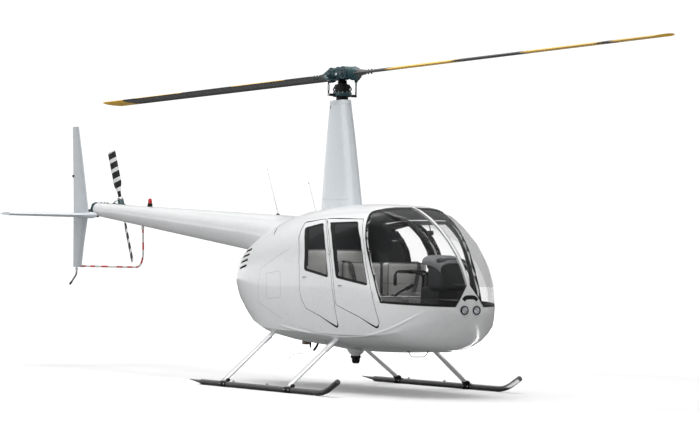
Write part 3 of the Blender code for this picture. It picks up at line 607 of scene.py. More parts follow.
def build_finishes():
    paint("white enamel", (0.80, 0.81, 0.82))
    paint("pearl grey enamel", (0.66, 0.70, 0.735), 0.3, 0.4)
    # The fins' copy of the silver paint is darker than the mast fairing's: painted shade for how the fins
    # face the light
    paint("silver enamel darkened as shade", (0.47, 0.505, 0.535), 0.32, 0.4)
    paint("skid enamel", (0.012, 0.0125, 0.013), 0.30, 0.5, 0.12)
    paint("dark teal enamel", (0.009, 0.045, 0.054), 0.34, 0.2, 0.05, shine=0.35)
    paint("black enamel", (0.007, 0.0075, 0.008), 0.42, 0.0, 0.05, shine=0.12)
    bare_metal("brushed steel", (0.46, 0.47, 0.49))
    bare_metal("cast engine metal", (0.20, 0.20, 0.21), 0.6, 0.2, 40.0)
    plain_stuff("black rubber", (0.012, 0.012, 0.013), 0.6, 260.0, 0.0006)
    plain_stuff("moulded trim", (0.045, 0.046, 0.050), 0.65, 420.0, 0.0005)
    plain_stuff("joint sealant", (0.34, 0.345, 0.355), 0.6, 300.0, 0.0004)
    plain_stuff("grey rubber", (0.13, 0.132, 0.136), 0.6, 260.0, 0.0006)
    plain_stuff("crackle paint", (0.020, 0.020, 0.022), 0.55, 700.0, 0.0008, strength=0.6)
    plain_stuff("grey lining", (0.17, 0.175, 0.18), 0.75, 500.0, 0.0008)
    plain_stuff("dark lining", (0.020, 0.021, 0.023), 0.7, 500.0, 0.0008)
    plain_stuff("dial face", (0.010, 0.010, 0.011), 0.4, 300.0, 0.0002)
    plain_stuff("dial marks", (0.75, 0.74, 0.70), 0.5, 300.0, 0.0002)
    plain_stuff("seat piping", (0.11, 0.11, 0.115), 0.5, 400.0, 0.0004)
    woven("grey carpet", (0.085, 0.087, 0.092), 420.0, 0.95, 0.003)
    woven("belt webbing", (0.055, 0.056, 0.060), 900.0, 0.7, 0.001)
    leather("seat leather", (0.52, 0.52, 0.51))
    bare_metal("burnt metal", (0.22, 0.17, 0.14), 0.5, 0.2, 60.0)
    bare_metal("lamp reflector", (0.86, 0.87, 0.89), 0.10, 0.1, 20.0)
    lens_glass("lamp glass", (0.93, 0.95, 0.97), 0.85)
    lens_glass("red lens", (0.75, 0.010, 0.008), 0.35)
    clear_glass("clear glazing", (0.06, 0.064, 0.068), 0.035, 1.75)


# Stage


def length(name, description, default):
    return FloatProperty(name=name, description=description, default=default, unit="LENGTH")


def power(name, description, default):
    return FloatProperty(name=name, description=description, default=default, unit="POWER")


def triple(name, description, default, **settings):
    return FloatVectorProperty(name=name, description=description, default=default, **settings)


class StageSizes(bpy.types.PropertyGroup):
    """Sizes of the stage, lights and camera"""

    lens: FloatProperty(name="Lens", description="Focal length of the camera in millimetres", default=127.35)
    camera_place: triple(
        "Camera place", "Camera, from the foot of the mast", (21.4217, -13.7387, 1.2844), unit="LENGTH",
    )
    camera_forward: triple("Camera direction", "Direction of view", (-0.83961, 0.54295, 0.01628))
    camera_right: triple("Camera right", "Right of the picture", (0.54314, 0.83955, 0.01229))
    floor_reach: length("Floor reach", "Half the side of the floor", 90.0)
    key_power: power("Key power", "Power of the overhead soft box", 1120.0)
    cabin_power: power("Cabin power", "Power of each soft box in the cabin", 3.6)
    strip_power: power("Strip power", "Power of the low strip that draws the highlight on the nose", 26.0)
    sheen_power: power("Sheen power", "Power of the low soft box that draws highlights", 90.0)
    fill_power: power("Fill power", "Power of the side soft box", 300.0)


def lay_floor(reach):
    """A pale floor that glows to white far out, darker in the light it bounces and darker still in what
    mirrors it.
    """
    corners = [(-reach, -reach, 0), (reach, -reach, 0), (reach, reach, 0), (-reach, reach, 0)]
    mesh = bpy.data.meshes.new("floor")
    mesh.from_pydata(corners, [], [(0, 1, 2, 3)])
    material = bpy.data.materials.new("pale studio floor")
    tree, shader = tree_of(material)
    shade = mix(tree, noise(tree, 0.6, 3.0)["Fac"], (0.90, 0.90, 0.90, 1), (0.93, 0.93, 0.93, 1))
    path = node(tree, "ShaderNodeLightPath").outputs
    seen = path["Is Camera Ray"]
    bounced = mix(tree, path["Is Glossy Ray"], (0.34, 0.34, 0.34, 1), (0.16, 0.16, 0.16, 1))
    tree.links.new(mix(tree, seen, bounced, shade), shader.inputs["Base Color"])
    set_plain(shader, {"Roughness": 0.7, "Specular IOR Level": 0.2, "Emission Strength": 1.0})
    away = vector_maths(tree, "LENGTH", place_on_piece(tree))["Value"]
    glow = maths(tree, "MULTIPLY", remap(tree, away, 5.0, 12.0), seen)
    tree.links.new(glow, shader.inputs["Emission Color"])
    mesh.materials.append(material)
    ground = bpy.data.objects.new("floor", mesh)
    bpy.context.scene.collection.objects.link(ground)


def fill_air():
    """Studio air: white to the camera, and brighter with height to what it lights and to what mirrors it."""
    world = bpy.data.worlds.new("studio air")
    bpy.context.scene.world = world
    world.use_nodes = True
    tree = world.node_tree
    tree.nodes.clear()
    out = tree.nodes.new("ShaderNodeOutputWorld")
    _, _, height = xyz(tree, node(tree, "ShaderNodeTexCoord").outputs["Generated"])
    rise = remap(tree, height, -0.1, 0.9, 0.32, 0.62)
    zenith = remap(tree, height, 0.10, 0.85, 0.22, 1.5)
    horizon = remap(tree, height, 0.16, 0.05, 0.0, 1.1, "SMOOTHSTEP")
    mirrored = maths(tree, "ADD", zenith, horizon)
    path = node(tree, "ShaderNodeLightPath").outputs
    both = node(
        tree, "ShaderNodeMix", {"data_type": "FLOAT"}, {0: path["Is Glossy Ray"], 2: rise, 3: mirrored},
    )
    lit = node(tree, "ShaderNodeBackground", inputs={"Color": (1, 1, 1, 1), "Strength": both.outputs[0]})
    seen = node(tree, "ShaderNodeBackground", inputs={"Color": (1, 1, 1, 1), "Strength": 1.1})
    inputs = {0: path["Is Camera Ray"], 1: lit.outputs[0], 2: seen.outputs[0]}
    tree.links.new(node(tree, "ShaderNodeMixShader", inputs=inputs).outputs[0], out.inputs["Surface"])


def soft_box(name, place, aim, size, power):
    light = bpy.data.lights.new(name, "AREA")
    light.shape = "RECTANGLE"
    light.size, light.size_y = size
    light.energy = power
    thing = bpy.data.objects.new(name, light)
    thing.location = place
    thing.rotation_euler = (aim - place).to_track_quat("-Z", "Y").to_euler()
    bpy.context.scene.collection.objects.link(thing)
    return thing


def axes(x, y, z):
    """A turn whose own axes are the three given directions."""
    return Matrix((x, y, z)).transposed().to_4x4()


def hang_boxes(sizes):
    """The soft boxes overhead, at the side, low down for the highlights, and in the cabin."""
    soft_box("overhead soft box", at(-1.0, -0.5, 11.0), at(-1.0, 0, 0), (14.0, 9.0), sizes.key_power)
    soft_box("side soft box", at(-1.0, -12.0, 5.0), at(0.0, 0, 1.2), (9.0, 4.0), sizes.fill_power)
    sheen = soft_box("sheen soft box", at(0.5, -9.5, 0.9), at(0.5, 0, 0.9), (17.0, 1.0), sizes.sheen_power)
    sheen.data.diffuse_factor = 0.05
    sheen.data.specular_factor = 3.0
    sheen.visible_camera = False

    place = at(3.1, 1.90, 0.03)
    low = soft_box("low soft strip", place, at(2.3, 0.1, 0.6), (4.7, 0.26), sizes.strip_power)
    along = Vector((0.847, 0.531, 0.0))
    across = Vector((0, 0, -1)).cross(along).normalized()
    low.matrix_world = moved(place) @ axes(along, across, along.cross(across))
    low.visible_camera = low.visible_diffuse = False

    for x in (0.95, 0.20):
        inside = soft_box(
            f"cabin soft box {x}", at(x, 0, 1.66), at(x + 0.1, 0, 1.0), (0.5, 0.7), sizes.cabin_power,
        )
        inside.visible_camera = inside.visible_glossy = inside.visible_transmission = False


def set_camera(sizes):
    """The camera at the photograph's angle of view."""
    camera = bpy.data.cameras.new("camera")
    camera.lens = sizes.lens
    camera.sensor_width = 36.0
    camera.clip_start, camera.clip_end = 0.5, 400.0
    forward = Vector(sizes.camera_forward).normalized()
    right = Vector(sizes.camera_right).normalized()
    up = right.cross(forward).normalized()
    right = forward.cross(up).normalized()
    thing = bpy.data.objects.new("camera", camera)
    thing.matrix_world = moved(at(*sizes.camera_place)) @ axes(right, up, -forward)
    bpy.context.scene.collection.objects.link(thing)
    bpy.context.scene.camera = thing


class HELI_OT_stage(bpy.types.Operator):
    """Lay the floor, hang the soft boxes and set the camera at the picture's angle"""

    bl_idname = "heli.stage"
    bl_label = "Stage, lights and camera"

    def execute(self, context):
        sizes = context.scene.heli_stage
        lay_floor(sizes.floor_reach)
        fill_air()
        hang_boxes(sizes)
        set_camera(sizes)
        context.scene.view_settings.view_transform = "Standard"
        return {"FINISHED"}


# Frame pieces


def tidy_solid():
    """A node tree that welds a faceted solid's corners and shades it smooth up to its sharp edges."""
    tree = bpy.data.node_groups.new("welded and smooth", "GeometryNodeTree")
    for way in ("INPUT", "OUTPUT"):
        tree.interface.new_socket("Geometry", in_out=way, socket_type="NodeSocketGeometry")
    given, out = tree.nodes.new("NodeGroupInput"), tree.nodes.new("NodeGroupOutput")
    inputs = {"Geometry": given.outputs[0], "Name": "custom_normal"}
    drop = node(tree, "GeometryNodeRemoveAttribute", inputs=inputs)
    weld = node(tree, "GeometryNodeMergeByDistance", inputs={"Geometry": drop.outputs[0], "Distance": WELD})
    inputs = {"Geometry": weld.outputs[0], "Shade Smooth": True}
    smooth = node(tree, "GeometryNodeSetShadeSmooth", {"domain": "FACE"}, inputs)
    edge = node(tree, "GeometryNodeInputMeshEdgeAngle").outputs[0]
    settings = {"data_type": "FLOAT", "operation": "GREATER_THAN"}
    sharp = node(tree, "FunctionNodeCompare", settings, {0: edge, 1: SHARP_ANGLE}).outputs[0]
    inputs = {"Geometry": smooth.outputs[0], "Selection": sharp, "Shade Smooth": False}
    crease = node(tree, "GeometryNodeSetShadeSmooth", {"domain": "EDGE"}, inputs)
    tree.links.new(crease.outputs[0], out.inputs[0])


def dress(name, finish):
    """Gives a carried-over solid its finish and a smooth skin."""
    thing = NODES[name]
    thing.data.materials.clear()
    thing.data.materials.append(FINISH[finish])
    modifier = thing.modifiers.new("welded and smooth", "NODES")
    modifier.node_group = bpy.data.node_groups["welded and smooth"]


WHITE_SHELLS = (
    "cabin_tub", "cabin_roof", "windshield_centre_strip", *(f"door_{corner}" for corner in CORNERS),
)
PANES = (*(f"windshield_{side}" for side, _ in SIDES), *(f"door_{corner}_window" for corner in CORNERS))
PAINTED = {
    "white enamel": (
        *WHITE_SHELLS, "engine_cowl", "tail_boom", *(f"strut_{corner}" for corner in CORNERS),
        "landing_lamp_port", "landing_lamp_starboard",
    ),
    "pearl grey enamel": ("mast_fairing", "stabiliser"),
    # The fins take the silver paint painted darker, as shade
    "silver enamel darkened as shade": ("fin_upper", "fin_lower"),
    "dark teal enamel": ("tail_gearbox", "rotor_hub", "tail_rotor_hub"),
    "black enamel": ("cyclic_stick", "swashplate_fixed", "rotor_mast", "belly_unit"),
    "skid enamel": ("skid_port", "skid_starboard"),
    "brushed steel": ("tail_skid", "whip_antenna", "ball_antenna", "exhaust_pipe"),
    "cast engine metal": ("engine",),
    "dark lining": ("instrument_console",),
    "moulded trim": (
        "seat_base_front", "seat_base_rear", "beacon", *(f"cushion_{corner}" for corner in CORNERS),
        *(f"seat_back_{corner}" for corner in CORNERS),
    ),
    "clear glazing": PANES,
}
CABIN = {}


class HELI_OT_airframe(bpy.types.Operator):
    """Paint the carried-over solids"""

    bl_idname = "heli.airframe"
    bl_label = "Airframe finishes"

    def execute(self, context):
        tidy_solid()
        CABIN["skin"] = skin_of(*WHITE_SHELLS, *PANES)
        for finish, names in PAINTED.items():
            for name in names:
                dress(name, finish)
        return {"FINISHED"}


# Places on the skins


class Skin:
    """The smooth outer face of a solid, reached from a point outside, with its rims as closed paths."""

    def __init__(self, name, start, towards):
        bm = bmesh.new()
        bm.from_mesh(NODES[name].data)
        bmesh.ops.remove_doubles(bm, verts=bm.verts, dist=WELD)
        bm.faces.ensure_lookup_table()
        bm.normal_update()
        _, _, first, _ = BVHTree.FromBMesh(bm).ray_cast(start, towards)
        if first is None:
            raise RuntimeError(f"{name} isn't met from {tuple(start)}")
        seen = {first}
        queue = [bm.faces[first]]
        while queue:
            face = queue.pop()
            for edge in face.edges:
                for other in edge.link_faces:
                    if other.index not in seen and other.normal.dot(face.normal) > 0.86:
                        seen.add(other.index)
                        queue.append(other)
        bmesh.ops.delete(bm, geom=[face for face in bm.faces if face.index not in seen], context="FACES")
        self.tree = BVHTree.FromBMesh(bm)
        follow = {}
        for edge in bm.edges:
            if len(edge.link_faces) == 1:
                loop = edge.link_loops[0]
                follow[loop.vert] = loop.link_loop_next.vert
        self.rims = []
        while follow:
            start_vert, here = next(iter(follow.items()))
            path = [start_vert.co.copy()]
            del follow[start_vert]
            while here in follow:
                path.append(here.co.copy())
                here = follow.pop(here)
            self.rims.append(path)
        self.rims.sort(key=lambda path: -sum((a - b).length for a, b in zip(path, path[1:])))
        bm.free()

    def rim(self, which=0, step=0.012):
        """Even places along a rim: point, outward normal and the direction into the face."""
        points = evenly(self.rims[which], step, True)
        out = []
        for i, point in enumerate(points):
            along = (points[(i + 1) % len(points)] - points[i - 1]).normalized()
            _, normal, _, _ = self.tree.find_nearest(point)
            out.append((point, normal, normal.cross(along).normalized()))
        smooth = []
        for i, (point, normal, _) in enumerate(out):
            near = sum((out[(i + k) % len(out)][2] for k in (-2, -1, 0, 1, 2)), Vector())
            smooth.append((point, normal, near.normalized()))
        return smooth

    def onto(self, point, lift=0.0):
        hit, normal, _, _ = self.tree.find_nearest(point)
        return hit + normal * lift


def evenly(path, step, closed=False):
    """A path's points at even distances."""
    path = list(path) + ([path[0]] if closed else [])
    lengths = [0.0]
    for a, b in zip(path, path[1:]):
        lengths.append(lengths[-1] + (b - a).length)
    count = max(4, round(lengths[-1] / step))
    out = []
    k = 0
    for i in range(count if closed else count + 1):
        goal = lengths[-1] * i / count
        while k < len(path) - 2 and lengths[k + 1] < goal:
            k += 1
        span = lengths[k + 1] - lengths[k]
        out.append(path[k].lerp(path[k + 1], (goal - lengths[k]) / span if span else 0.0))
    return out


def band(form, skin, places, inner, outer=0.0, lift=0.0006, closed=True, steps=3):
    """A thin layer along a rim, from `outer` beyond it to `inner` inside it, a number or a function."""
    rows = []
    under, skirt = -0.0002, 0.0006
    for point, _, inward in places:
        reach = inner(point, inward) if callable(inner) else inner
        row = [skin.onto(point - inward * outer, under)]
        for k in range(steps + 1):
            row.append(skin.onto(point + inward * (-outer + (reach + outer) * k / steps), lift))
        row.append(skin.onto(point + inward * (reach + skirt), under))
        rows.append(row)
    if closed:
        rows.append(rows[0])
    form.loft(rows, closed_ends=False, closed_rings=False)
    return form


def bead(form, places, offset, lift, radius, sides=6):
    """A round rubber bead along a rim."""
    path = [point + inward * offset + normal * lift for point, normal, inward in places]
    return form.tube(path + path[:2], radius, sides)


def down_on(tree, point, out, rise):
    """A point brought down onto a skin against a direction, and raised from it."""
    hit, _, _, _ = tree.ray_cast(point + out * 0.05, -out, 0.2)
    return (hit if hit else point) + out * rise


def strip_on(form, tree, path, outs, width, lift):
    """A lap strip or seam laid along places on a skin; `outs` are the outward directions there."""
    rows = []
    for i, (point, out) in enumerate(zip(path, outs)):
        side = out.cross(heading(path, i)).normalized() * (width / 2)
        row = []
        for share, rise in ((-1, -0.0003), (-0.97, lift), (0, lift), (0.97, lift), (1, -0.0003)):
            row.append(down_on(tree, point + side * share, out, rise))
        rows.append(row)
    return form.loft(rows, closed_ends=False, closed_rings=False)


def around(tree, x, z, start, end, count):
    """Places round the boom in a plane square to X: points and outward directions."""
    centre = at(x, 0, z)
    points, outs = [], []
    for k in range(count + 1):
        angle = start + (end - start) * k / count
        out = Vector((0, cos(angle), sin(angle)))
        for hit, _ in met(tree, centre + out * 0.5, -out):
            points.append(hit)
            outs.append(out)
    return points, outs


def side_path(tree, corners, side, step=0.02):
    """A path drawn in the side view and cast onto a skin: points and outward directions."""
    flat = evenly([Vector((x, 0, z)) for x, z in corners], step)
    return tuple(zip(*(on_side(tree, p.x, p.z, side) for p in flat)))


def line_inside(name):
    """Gives the faces of a shell that look into the cabin a lining of their own."""
    mesh = NODES[name].data
    mesh.materials.append(FINISH["dark lining"])
    middle = at(0.75, 0, 1.2)
    for face in mesh.polygons:
        centre = Vector(face.center)
        hit, _, _, distance = CABIN["skin"].ray_cast(centre + face.normal * 0.0015, face.normal)
        if hit is not None and distance < 2.6 and (face.normal.dot(middle - centre) > 0 or distance < 0.03):
            face.material_index = 1


# Glazing


class GlazingSizes(bpy.types.PropertyGroup):
    """Sizes of the borders round the panes"""

    border: length("Border", "Width of the black border at its narrow places", 0.010)
    aft_border: length("Aft border", "More width along a door window's aft edge", 0.058)
    low_border: length("Lower border", "More width along a pane's lower edge", 0.014)
    bead: length("Bead", "Radius of the rubber bead at the edge", 0.0032)


class HELI_OT_glazing(bpy.types.Operator):
    """Lay the black borders and rubber beads round every pane"""

    bl_idname = "heli.glazing"
    bl_label = "Window borders and seals"

    def execute(self, context):
        sizes = context.scene.heli_glazing
        for side, s in SIDES:
            for end, x, z in (("front", 1.05, 1.35), ("rear", 0.50, 1.42)):
                name = f"door_{end}_{side}_window"
                skin = Skin(name, at(x, 2.0 * s, z), Vector((0, -s, 0)))

                def reach(_, inward):
                    aft, low = max(0.0, inward.x) ** 2, max(0.0, inward.z) ** 2
                    return sizes.border + sizes.aft_border * aft + sizes.low_border * low

                places = skin.rim()
                body = f"door_{end}_{side}"
                band(Form(), skin, places, reach).piece(f"window_border_{end}_{side}", "black enamel", body)
                bead(Form(), places, 0.002, 0.0016, sizes.bead).piece(
                    f"window_seal_{end}_{side}", "black rubber", body,
                )
            skin = Skin(f"windshield_{side}", at(4.0, 0.30 * s, 1.35), Vector((-1, 0, 0)))

            def screen_reach(point, inward):
                x, z = point.x - MAST.x, point.z
                if abs(point.y - MAST.y) < 0.03:
                    return 0.004
                if z > 1.80 and x < 1.40:
                    return 0.040
                return 0.012 + 0.010 * max(0.0, inward.z) ** 2

            places = skin.rim()
            name = f"windscreen_border_{side}"
            band(Form(), skin, places, screen_reach).piece(name, "black enamel")
            bead(Form(), places, 0.002, 0.0014, sizes.bead).piece(f"windscreen_seal_{side}", "black rubber")
        return {"FINISHED"}


# Doors


class DoorSizes(bpy.types.PropertyGroup):
    """Sizes of the door fittings"""

    handle: length("Handle", "Length of an outer door handle", 0.062)
    handle_width: length("Handle width", "Width of an outer door handle", 0.016)
    rivet: length("Rivet", "Radius of a rivet head", 0.0024)
    rivet_step: length("Rivet spacing", "Distance between rivets", 0.045)


class HELI_OT_doors(bpy.types.Operator):
    """Fit handles, pressed lines, gaskets and rivets to the four doors"""

    bl_idname = "heli.doors"
    bl_label = "Door fittings"

    def execute(self, context):
        sizes = context.scene.heli_doors
        half, wide = sizes.handle / 2, sizes.handle_width / 2
        for side, s in SIDES:
            inboard = Vector((0, -s, 0))
            for end, x, z, crease in (
                ("front", 1.00, 1.060, ((0.95, 0.958), (1.47, 0.872))),
                ("rear", 0.325, 1.135, ((0.30, 1.062), (0.86, 0.973))),
            ):
                body, here = f"door_{end}_{side}", f"{end}_{side}"
                skin = Skin(body, at(x + 0.12, 2.0 * s, z - 0.08), inboard)
                hit, normal, _, _ = skin.tree.ray_cast(at(x, 2.0 * s, z), inboard)
                flat = facing_side(hit, normal) @ spun(radians(-6.0) * s, "Z")
                low, high = (-half - 0.010, -wide - 0.008, -0.004), (half + 0.010, wide + 0.008, 0.0012)
                Form().block(low, high, 0.004, flat).piece(f"handle_dish_{here}", "white enamel", body)
                rings = []
                for k in range(9):
                    t = k / 8
                    rise = 0.004 + 0.011 * sin(pi * min(1.0, t * 1.15)) ** 0.8
                    w = wide * (0.85 - 0.25 * t)
                    ring = [(-half + 2 * half * t, w * cos(a), rise + 0.0035 * sin(a)) for a in angles(12)]
                    rings.append([flat @ Vector(p) for p in ring])
                lever = Form().loft(rings)
                lever.studs([(flat @ Vector((-half + 0.008, 0, 0.0055)), normal)], 0.0055, 0.003, 10)
                lever.piece(f"handle_{here}", "brushed steel", body)
                rim = skin.rim(0, sizes.rivet_step)
                places = [(skin.onto(point + inward * 0.016), out) for point, out, inward in rim]
                Form().studs(places, sizes.rivet, 0.0007).piece(f"door_rivets_{here}", "white enamel", body)
                strip = strip_on(Form(), skin.tree, *side_path(skin.tree, crease, s), 0.012, 0.0016)
                strip.piece(f"door_crease_{here}", "white enamel", body)
                bead(Form(), skin.rim(), 0.0035, -0.012, 0.0042).piece(
                    f"door_gasket_{here}", "joint sealant", body,
                )
        return {"FINISHED"}


def facing_side(point, normal):
    """A placing on a flank: local X runs aft to nose, local Z outward."""
    z = normal.normalized()
    x = (Vector((1, 0, 0)) - z * z.x).normalized()
    return moved(point) @ axes(x, z.cross(x), z)


# Seams


class SeamSizes(bpy.types.PropertyGroup):
    """Sizes of lap strips, panel seams and rivets"""

    lap: length("Lap", "Width of a lap strip", 0.026)
    lift: length("Lift", "Thickness of a lap strip", 0.0009)
    seam: length("Seam", "Width of a panel seam", 0.0028)
    rivet: length("Rivet", "Radius of a rivet head", 0.0026)
    rings: IntProperty(name="Boom rings", description="Lap strips along the boom", default=6, min=2, max=12)


class HELI_OT_seams(bpy.types.Operator):
    """Lay lap strips, panel seams, fasteners and rivets on the skins"""

    bl_idname = "heli.seams"
    bl_label = "Seams and rivets"

    def execute(self, context):
        sizes = context.scene.heli_seams
        self.boom(sizes)
        self.panels(sizes)
        self.mast()
        self.tail_surfaces()
        return {"FINISHED"}

    def boom(self, sizes):
        boom = skin_of("tail_boom")
        laps, rivets = Form(), []
        for k in range(sizes.rings):
            x = -1.95 - 3.30 * k / (sizes.rings - 1)
            z = boom_height(x)
            strip_on(laps, boom, *around(boom, x, z, radians(-80), radians(260), 40), sizes.lap, sizes.lift)
            for shift in (-0.0085, 0.0085):
                rings, outs = around(boom, x + shift, z, radians(-84), radians(264), 26)
                rivets += [(point + out * sizes.lift, out) for point, out in zip(rings, outs)]
        for angle in (radians(-90), radians(90)):
            for k in range(88):
                x = -1.50 - 3.85 * k / 87
                points, outs = around(boom, x, boom_height(x), angle + 0.10, angle + 0.10, 1)
                if points and not abs(x + 4.13) < 0.06:
                    rivets.append((points[0], outs[0]))
        laps.piece("boom_laps", "white enamel")
        Form().studs(rivets, sizes.rivet, 0.0009).piece("boom_rivets", "white enamel")

    def panels(self, sizes):
        tub = skin_of("cabin_tub", "engine_cowl")
        seams, fasteners, swage = Form(), [], Form()
        for _, s in SIDES:
            for corners in PANEL_LINES:
                points, outs = side_path(tub, corners, s)
                strip_on(seams, tub, points, outs, sizes.seam, 0.0004)
                for point, out in list(zip(points, outs))[1::3]:
                    fasteners.append((point + Vector((0, 0, 0.012)), out))
            strip_on(seams, tub, *side_path(tub, ACCESS_LINE, s), sizes.seam, 0.0004)
            fasteners += [on_side(tub, x, z, s) for x, z in ACCESS_SCREWS]
        seams.piece("panel_seams", "joint sealant")
        for _, s in SIDES:
            path = bend([Vector((x, 0, z)) for x, z in SWAGE_LINE], 0.3, 8)
            points, outs = side_path(tub, [(p.x, p.z) for p in path], s)
            rows = []
            for i, (point, out) in enumerate(zip(points, outs)):
                wide = out.cross(heading(points, i)).normalized()
                fade = min(1.0, i / 12, (len(points) - 1 - i) / 12)
                row = []
                for k in range(7):
                    share = k / 3 - 1
                    rise = 0.0068 * fade * cos(share * pi / 2) - 0.0004
                    row.append(down_on(tub, point + wide * share * 0.017, out, rise))
                rows.append(row)
            swage.loft(rows, closed_ends=False, closed_rings=False)
        swage.piece("lower_swage", "white enamel", smooth=180)
        snug = [(tub.find_nearest(point)[0], out) for point, out in fasteners]
        Form().studs(snug, 0.0048, 0.0010, 10).piece("panel_fasteners", "brushed steel")

    def mast(self):
        mast = skin_of("mast_fairing")
        rivets = []
        for k in range(26):
            for s in (1, -1):
                for x in (-0.10 - 0.02 * k / 25, 0.10 - 0.09 * k / 25):
                    rivets += met(mast, at(x, s, 1.90 + 1.02 * k / 25), (0, -s, 0))
        Form().studs(rivets, 0.0026, 0.0009).piece("mast_rivets", "pearl grey enamel")
        collar = Form()
        level = [Vector((cos(a), sin(a), 0)) for a in angles(40)]
        for z, grow in ((1.935, 0.002), (2.915, 0.0015)):
            rings = []
            for rise, push in ((-0.012, 0.0), (-0.010, grow), (0.010, grow), (0.012, 0.0)):
                rings.append(section(mast, at(0, 0, z) + Vector((0, 0, rise)), level, (0.6, 0.05), push))
            collar.loft(rings, closed_ends=False)
        collar.piece("mast_bands", "pearl grey enamel")
        # A black strip near the top of the mast fairing stands for a slot: painted shade where its inside
        # would be dark
        found = []
        for k in range(8):
            found += met(mast, at(-0.112 - 0.01 * k / 7, -1.0, 2.862 + 0.066 * k / 7), (0, 1, 0))
        strip_on(Form(), mast, *zip(*found), 0.016, 0.0006).piece("mast_slot_shade", "black enamel")

    def tail_surfaces(self):
        rivets = []
        for name, low, high, lead, trail in FINS:
            tree = skin_of(name)
            for k in range(22):
                t = k / 21
                ahead = lead[0] + (lead[1] - lead[0]) * t
                behind = trail[0] + (trail[1] - trail[0]) * t
                for share in (0.28, 0.80):
                    x = ahead * (1 - share) + behind * share
                    for s in (1, -1):
                        rivets += met(tree, at(x, s, low + (high - low) * t), (0, -s, 0))
        tree = skin_of("stabiliser")
        for k in range(20):
            t = k / 19
            for share in (0.28, 0.80):
                x = (-5.48 - 0.095 * t) * (1 - share) + (-5.873 + 0.008 * t) * share
                for s in (1, -1):
                    rivets += met(tree, at(x, -0.22 - 0.86 * t, 1.818 + s), (0, 0, -s))
        Form().studs(rivets, 0.0024, 0.0008).piece("tail_surface_rivets", "silver enamel darkened as shade")


# Lines in the side view, as pairs of X and Z
PANEL_LINES = (
    ((-0.02, 1.42), (-0.66, 1.20), (-0.70, 0.86), (-0.14, 0.70)),
    ((0.215, 0.62), (0.62, 0.565), (1.10, 0.545), (1.60, 0.575)),
)
ACCESS_LINE = ((-0.50, 1.16), (-0.18, 1.19), (-0.16, 0.92), (-0.48, 0.90), (-0.50, 1.16))
ACCESS_SCREWS = ((-0.48, 1.14), (-0.34, 1.155), (-0.20, 1.165), (-0.18, 0.94), (-0.32, 0.925), (-0.46, 0.92))
SWAGE_LINE = (
    (-0.30, 0.640), (0.30, 0.575), (0.95, 0.545), (1.45, 0.575), (1.80, 0.660), (2.02, 0.760), (2.14, 0.840),
)
# Fins: foot and top of the rivet rows, then the leading and the trailing edge at each
FINS = (
    ("fin_upper", 1.90, 2.86, (-5.50, -5.75), (-5.86, -5.91)),
    ("fin_lower", 1.24, 1.74, (-5.66, -5.52), (-5.855, -5.86)),
)


# Lamps


class LampSizes(bpy.types.PropertyGroup):
    """Sizes of the lamps"""

    reach: length("Lamp radius", "Radius of a landing lamp's lens", 0.0355)
    bezel: length("Bezel", "Thickness of the ring round a lamp", 0.0085)


